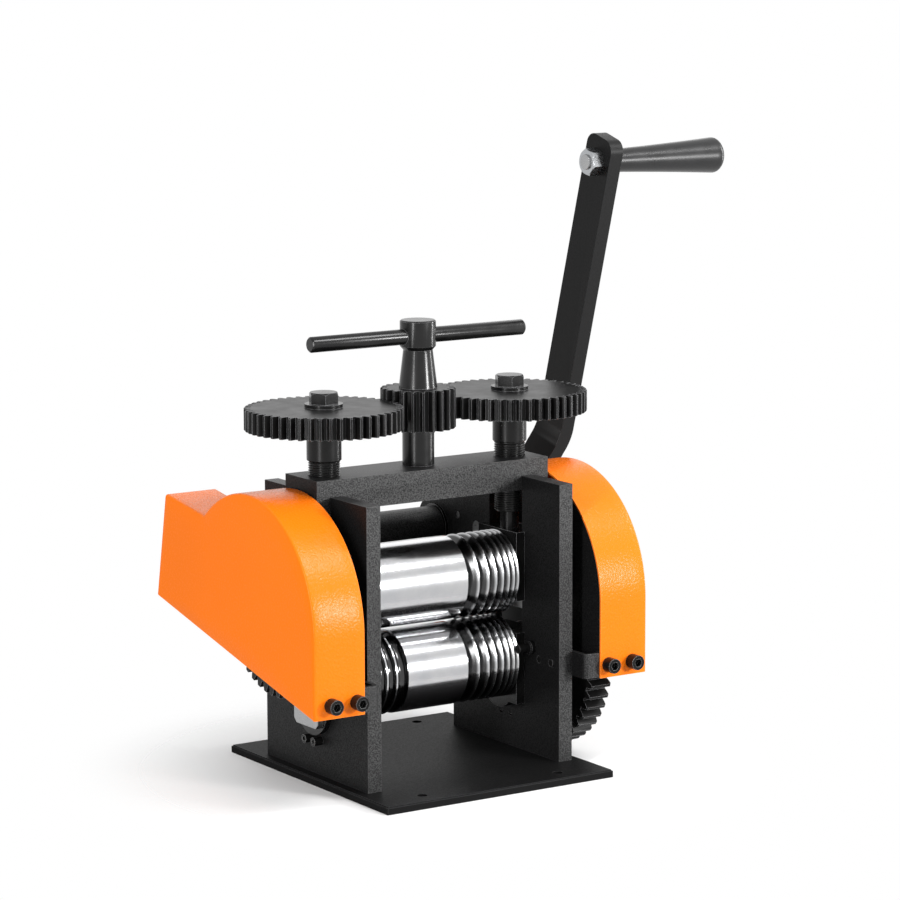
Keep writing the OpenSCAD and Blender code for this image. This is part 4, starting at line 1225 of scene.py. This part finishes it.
@dataclass
class CoverBacking(SubAssembly):
    """The black sheet inside a cover's rim, in front of the bearings, that closes the view into it."""

    cover: GearCover
    sheet: float = 1 * MM
    gap: float = 0.3 * MM
    rear: float = -22.5 * MM
    bracket: float = 3 * MM
    arc_points: int = 24

    def build(self) -> None:
        """Make the sheet: an arc inside the rim, a notch for the bracket and the cover's slanted foot."""
        side, shift = self.cover.side, self.cover.shift
        low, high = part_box(self.cover.node)
        reach, arc_z, low_z = self.cover.arch
        path, _ = self.cover.outline()
        front, end = path[0], path[-1]
        slope = (end[1] - front[1]) / (end[0] - front[0])
        inner = reach - self.cover.sheet - self.gap
        notch_y = shift - inner + self.bracket
        notch_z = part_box(side.own("cover_bracket"))[1].z + self.gap
        turn = np.linspace(math.pi, math.acos((self.rear - shift) / inner), self.arc_points)
        arc = zip(shift + inner * np.cos(turn), arc_z + inner * np.sin(turn))
        outline = np.array([
            (notch_y, low_z + slope * (notch_y - front[0])), (notch_y, notch_z), (shift - inner, notch_z),
            *arc, (self.rear, low_z + slope * (self.rear - front[0])),
        ])
        start = min(abs(low.x), abs(high.x))
        count = len(outline)
        sheets = [np.column_stack([np.full(count, x), outline]) for x in (start, start + self.sheet)]
        faces = grid_faces(2, count, False, True).tolist()
        faces += [list(range(count))[::-1], list(range(count, 2 * count))]
        if side is Side.LEFT:
            faces = [face[::-1] for face in faces]
        black = self.finishes.by_slot["powder_black"]
        piece = new_piece(side.own("cover_backing"), np.concatenate(sheets) * side.flip, faces, black)
        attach(piece, body_with(self.cover.node))
        log.info("%s has %d faces", piece.name, len(faces))


# Grip


@dataclass
class Grip(SubAssembly):
    """The tapered crank grip with its domed end."""

    start_shift: float = 7 * MM
    end_shift: float = -2 * MM
    small: float = 7.4 * MM
    big: float = 11.8 * MM
    belly: float = 0.25 * MM
    lead: float = 1.2 * MM
    chamfer: float = 0.35 * MM
    dome: float = 6.5 * MM
    dome_share: float = 0.999
    pole: float = 0.01 * MM
    segments: int = 96
    body_points: int = 30
    dome_points: int = 14

    def build(self) -> None:
        """Make the grip.

        The radius grows from the small to the big end with a slight belly, a sine of the share of the
        length, and the dome is a quarter of an ellipse, which ends at a tiny ring.
        """
        low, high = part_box("crank_grip")
        at = joint_place("grip_turn")
        start = low.x + self.start_shift
        straight = high.x + self.end_shift - self.dome
        share = np.linspace(0, 1, self.body_points)
        belly = self.belly * np.sin(share * math.pi)
        radii = self.small + (self.big - self.small) * share - belly
        places = start + self.lead + (straight - start - self.lead) * share
        turn = np.linspace(0, math.pi / 2, self.dome_points)[1:]
        rounds = self.big * np.cos(turn) * self.dome_share + self.pole
        profile = [(self.small - self.lead, start), (self.small - self.chamfer, start + self.chamfer)]
        profile += [*zip(radii, places), *zip(rounds, straight + self.dome * np.sin(turn))]
        skin = rod_along_x(at, self.segments, profile)
        show("turning_grip", skin, self.finishes.for_node("crank_grip"), "crank_grip")


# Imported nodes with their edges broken


@dataclass(frozen=True)
class Nudge:
    """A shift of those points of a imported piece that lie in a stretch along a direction.

    It puts a form where the photograph shows it, a few millimetres from where the solid has it.
    """

    along: Triple
    start: float
    end: float
    move: Triple
    origin: Triple = (0.0, 0.0, 0.0)
    mirrored: bool = False

    def apply(self, points: np.ndarray) -> np.ndarray:
        """Shift the points. A mirrored nudge reads and moves the left side as the right one's mirror image.

        Args:
            points: Points in rows.

        Returns:
            The points after the shift.
        """
        flip = np.ones_like(points)
        if self.mirrored:
            flip[:, 0] = np.where(points[:, 0] < 0, -1, 1)
        local = points * flip
        place = (local - np.array(self.origin)) @ np.array(self.along)
        local[(place >= self.start) & (place <= self.end)] += np.array(self.move)
        return local * flip


@dataclass
class BrokenEdges(SubAssembly):
    """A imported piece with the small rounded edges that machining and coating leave.

    One with a width of zero keeps its edges sharp and its facets flat.
    """

    node: str
    width: float
    nudges: Sequence[Nudge] = ()
    bend: float = 0.0
    turn: float = 0.0
    segments: int = 2
    edge_angle: float = math.radians(35)
    round_angle: float = 30
    facet_angle: float = 9
    flat_angle: float = math.radians(0.6)
    join_distance: float = 0.001 * MM
    bend_segments: int = 5
    bend_angles: Span = (0.2, 0.6)
    bend_length: float = 20 * MM
    own_finish: ClassVar[dict[str, str]] = {
        **{f"upper_{node}": finish for node, finish in both("block", "oxide_black").items()},
        **{f"lower_{node}": finish for node, finish in both("block", "oxide_black").items()},
        **{f"{held}_screws": "oxide_screws" for held in ("cover", "bracket", "keeper")},
        "crank_arm": "powder_satin",
        # The base plate takes the painted-shade copy of the black paint
        "base_plate": "powder_base",
    }

    def build(self) -> None:
        """Copy the node's surface, join its loose triangles, and round its edges."""
        mesh = bpy.data.meshes.new(f"{self.node}_finished")
        work = bmesh.new()
        work.from_mesh(frame["nodes"][self.node].data)
        bmesh.ops.remove_doubles(work, verts=work.verts, dist=self.join_distance)
        bmesh.ops.dissolve_limit(
            work, angle_limit=self.flat_angle, use_dissolve_boundaries=False,
            verts=work.verts, edges=work.edges,
        )
        work.to_mesh(mesh)
        work.free()
        points = np.array([vertex.co for vertex in mesh.vertices])
        for nudge in self.nudges:
            points = nudge.apply(points)
        mesh.vertices.foreach_set("co", self.turned(points).ravel())
        mesh.update()
        mesh.materials.clear()
        mesh.materials.append(self.finishes.by_slot[self.own_finish.get(self.node, slot_of(self.node))])
        smooth(mesh, self.round_angle if self.width > 0 else self.facet_angle)
        piece = linked(mesh.name, mesh)
        if self.bend > 0:
            self.round_bends(piece)
        if self.width > 0:
            round_edges(
                piece, "edges", self.width, self.segments, limit_method="ANGLE",
                angle_limit=self.edge_angle, harden_normals=True, use_clamp_overlap=True,
            )
        stand_in_for(piece, self.node)

    def turned(self, points: np.ndarray) -> np.ndarray:
        """Turn the points about the upright line through the piece's middle.

        Args:
            points: Points in rows.

        Returns:
            The turned points.
        """
        centre = middle(self.node) * np.array([1, 1, 0])
        c, s = math.cos(self.turn), math.sin(self.turn)
        return (points - centre) @ np.array([[c, s, 0], [-s, c, 0], [0, 0, 1]]) + centre

    def round_bends(self, piece: Piece) -> None:
        """Round the long, blunt edges at which the piece is bent.

        Args:
            piece: The piece, before its other edges are rounded.
        """
        work = bmesh.new()
        work.from_mesh(piece.data)
        least, most = self.bend_angles
        weights = [
            float(
                len(edge.link_faces) == 2
                and least < edge.calc_face_angle() < most
                and edge.calc_length() > self.bend_length
            )
            for edge in work.edges
        ]
        work.free()
        marks = piece.data.attributes.new("bevel_weight_edge", "FLOAT", "EDGE")
        marks.data.foreach_set("value", weights)
        round_edges(piece, "bends", self.bend, self.bend_segments, limit_method="WEIGHT")


@dataclass
class Castings(SubAssembly):
    """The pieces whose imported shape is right, or nearly so, each with its own width of broken edge."""

    widths: ClassVar[dict[str, float]] = {
        "base_plate": 0.5 * MM,
        **both("side_plate", 0.6 * MM),
        "top_beam": 0.6 * MM,
        **both("shaft_arm", 0.6 * MM),
        "spacer_tube": 0.4 * MM,
        **both("cover_bracket", 0.4 * MM),
        "crank_arm": 1.0 * MM,
        "upper_left_block": 0.4 * MM,
        "upper_right_block": 0.4 * MM,
        "lower_left_block": 0.4 * MM,
        "lower_right_block": 0.4 * MM,
        "lower_end_plate": 0.3 * MM,
        "upper_end_plate": 0.3 * MM,
        **both("gear_bolt", 0.0),
        "handle_spindle": 0.4 * MM,
        "tommy_bar": 0.2 * MM,
        "cover_screws": 0.25 * MM,
        "bracket_screws": 0.25 * MM,
        "beam_screws": 0.2 * MM,
        "keeper_screws": 0.2 * MM,
        "guide_studs": 0.25 * MM,
        "crank_screw": 0.3 * MM,
        "grip_nut": 0.0,
        "grip_bolt": 0.25 * MM,
        "lower_gear_nut": 0.0,
        "upper_gear_nut": 0.0,
        "drive_nut": 0.0,
        "idler_bolt": 0.3 * MM,
    }
    bends: ClassVar[dict[str, float]] = {"crank_arm": 7 * MM}
    turns: ClassVar[dict[str, float]] = both("gear_bolt", math.radians(6))

    def nudges(self) -> dict[str, tuple[Nudge, ...]]:
        """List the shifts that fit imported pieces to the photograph.

        Returns:
            The shifts of each node.
        """
        x, y, z = (1.0, 0.0, 0.0), (0.0, 1.0, 0.0), (0.0, 0.0, 1.0)
        far = 1.0
        shaft, grip = joint_place("crank_turn"), joint_place("grip_turn")
        up = (grip - shaft) * np.array([0, 1, 1])
        up /= np.linalg.norm(up)
        outwards = (7 * MM, 0, 0)
        whole_right = {"along": x, "start": 0, "end": far}
        low_bend = tuple(-7.3 * MM * up)
        high_bend = tuple(-6.3 * MM * up + np.array(outwards))
        arm = tuple(up)
        foot = tuple(shaft)
        plate = (Nudge(y, start=-far, end=-50 * MM, move=(0, -2 * MM, 0)),)
        bracket = (
            Nudge(y, start=-far, end=-68 * MM, move=(0, 3.5 * MM, 0)),
            Nudge(z, start=0, end=62 * MM, move=(0, 0, 1 * MM)),
        )
        return {
            **both("side_plate", plate),
            **both("cover_bracket", bracket),
            "crank_arm": (
                Nudge(arm, start=15 * MM, end=45 * MM, move=low_bend, origin=foot),
                Nudge(arm, start=55 * MM, end=85 * MM, move=high_bend, origin=foot),
                Nudge(arm, start=200 * MM, end=far, move=outwards, origin=foot),
            ),
            "grip_nut": (Nudge(**whole_right, move=outwards),),
            "grip_bolt": (Nudge(**whole_right, move=outwards),),
            "cover_screws": (Nudge(**whole_right, move=(-2.1 * MM, 3.5 * MM, 0), mirrored=True),),
            "keeper_screws": (
                Nudge(x, start=79 * MM, end=far, move=(3.5 * MM, 0, 0), mirrored=True),
                Nudge(**whole_right, move=(0, 0, 1 * MM), mirrored=True),
            ),
        }

    def build(self) -> None:
        """Round the edges of the pieces in view and give every other node its finish."""
        nudges = self.nudges()
        for node, width in self.widths.items():
            bend, turn = self.bends.get(node, 0.0), self.turns.get(node, 0.0)
            BrokenEdges(self.finishes, node, width, nudges.get(node, ()), bend, turn).build()
        for node, shown in frame["nodes"].items():
            if shown.hide_render:
                continue
            shown.data.materials.clear()
            shown.data.materials.append(self.finishes.for_node(node))
            log.info("%s keeps its packed shape and gets %s", node, slot_of(node))


# Studio


@dataclass(frozen=True)
class Lamp:
    """A rectangular softbox aimed at the mill."""

    name: str
    place: Triple
    width: float
    height: float
    power: float
    aim: Triple = (0.0, 0.0, 0.15)

    def build(self) -> None:
        """Hang the lamp and turn it to its aim."""
        data = bpy.data.lights.new(self.name, "AREA")
        data.shape = "RECTANGLE"
        data.size = self.width
        data.size_y = self.height
        data.energy = self.power
        lamp = linked(self.name, data)
        lamp.location = self.place
        lamp.rotation_euler = (Vector(self.aim) - Vector(self.place)).to_track_quat("-Z", "Y").to_euler()


@dataclass(frozen=True)
class PhotoCamera:
    """The camera of the photograph, as fitted to it."""

    place: Triple = (-1.2205, -1.9030, 0.5725)
    yaw: float = math.radians(33.185)
    dip: float = math.radians(9.223)
    roll: float = math.radians(-0.141)
    lens: float = 144.08
    sensor: float = 36.0

    def build(self) -> None:
        """Set up the camera and make it the scene's own."""
        data = bpy.data.cameras.new("photo_camera")
        data.lens = self.lens
        data.sensor_width = self.sensor
        camera = linked("photo_camera", data)
        flat = math.cos(self.dip)
        ahead = Vector((math.sin(self.yaw) * flat, math.cos(self.yaw) * flat, -math.sin(self.dip)))
        turn = ahead.to_track_quat("-Z", "Y").to_matrix().to_4x4() @ Matrix.Rotation(self.roll, 4, "Z")
        camera.matrix_world = Matrix.Translation(self.place) @ turn
        bpy.context.scene.camera = camera


@dataclass(frozen=True)
class Studio:
    """White floor and surroundings, plain soft light, and the camera."""

    lamps: tuple[Lamp, ...] = (
        Lamp("left_strip", (-1.15, -0.61, 0.5), width=0.14, height=1.1, power=12),
        Lamp("front_softbox", (0.72, -1.33, 0.4), width=0.22, height=0.22, power=14),
        Lamp("high_softbox", (0.59, -0.91, 1.45), width=0.5, height=0.5, power=14),
        Lamp("right_strip", (1.16, -0.31, 0.5), width=0.12, height=1.1, power=9),
        Lamp("back_softbox", (0.85, 1.3, 0.9), width=0.7, height=0.6, power=1),
    )
    ambient: float = 0.5
    floor_reach: float = 3.0
    floor_fade: Span = (0.08, 0.23)
    floor_colour: Triple = (0.93, 0.93, 0.93)
    floor_rough: float = 0.9
    floor_gloss: float = 0.1

    def build(self) -> None:
        """Put up the floor, the surroundings, the lamps and the camera."""
        scene = bpy.context.scene
        scene.view_settings.view_transform = "Standard"
        self.surroundings(scene)
        self.floor()
        for lamp in self.lamps:
            lamp.build()
        PhotoCamera().build()

    def surroundings(self, scene: bpy.types.Scene) -> None:
        """Make a world that is white to the camera and in reflections, and dimmer as a light.

        Args:
            scene: The scene.
        """
        world = bpy.data.worlds.new("studio_world")
        world.use_nodes = True
        scene.world = world
        nodes = Nodes(world.node_tree)
        rays = nodes.add("ShaderNodeLightPath").outputs
        bounced = (rays["Is Glossy Ray"], rays["Is Transmission Ray"])
        mirrored = nodes.step("ShaderNodeMath", *bounced, operation="MAXIMUM")
        seen = nodes.step("ShaderNodeMath", rays["Is Camera Ray"], mirrored, operation="MAXIMUM")
        strength = nodes.fit(seen, WHOLE, (self.ambient, 1.0))
        back = nodes.step("ShaderNodeBackground", (1, 1, 1, 1), strength)
        nodes.join(back, nodes.add("ShaderNodeOutputWorld").inputs["Surface"])

    def floor(self) -> None:
        """Lay a white floor that fades into the white surroundings away from the mill."""
        reach = self.floor_reach
        corners = np.array([[-reach, -reach, 0], [reach, -reach, 0], [reach, reach, 0], [-reach, reach, 0]])
        r = Recipe("floor_paper")
        r.shader.inputs["Base Color"].default_value = (*self.floor_colour, 1)
        r.shader.inputs["Roughness"].default_value = self.floor_rough
        r.shader.inputs["Specular IOR Level"].default_value = self.floor_gloss
        length = r.step("ShaderNodeVectorMath", r.place, output="Value", operation="LENGTH")
        share = r.fit(length, self.floor_fade, WHOLE)
        share.node.interpolation_type = "SMOOTHSTEP"
        clear = r.step("ShaderNodeBsdfTransparent")
        mixed = r.step("ShaderNodeMixShader", share, r.shader.outputs["BSDF"], clear)
        r.join(mixed, r.output.inputs["Surface"])
        new_piece("studio_floor", corners, [[0, 1, 2, 3]], r.material)


def main() -> None:
    """Dress the mill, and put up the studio."""
    logging.basicConfig(level=logging.INFO, format="%(name)s: %(message)s")
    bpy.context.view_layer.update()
    finishes = Finishes()
    GearTrain(finishes).build()
    Roll(finishes, "lower_roll", Side.RIGHT, half_round=True).build()
    Roll(finishes, "upper_roll", Side.LEFT, half_round=False).build()
    for side in Side:
        AdjustingScrew(finishes, side).build()
        cover = GearCover(finishes, side, hole=side is Side.RIGHT)
        cover.build()
        CoverBacking(finishes, cover).build()
    Grip(finishes).build()
    Castings(finishes).build()
    Studio().build()


if __name__ == "__main__":
    main()
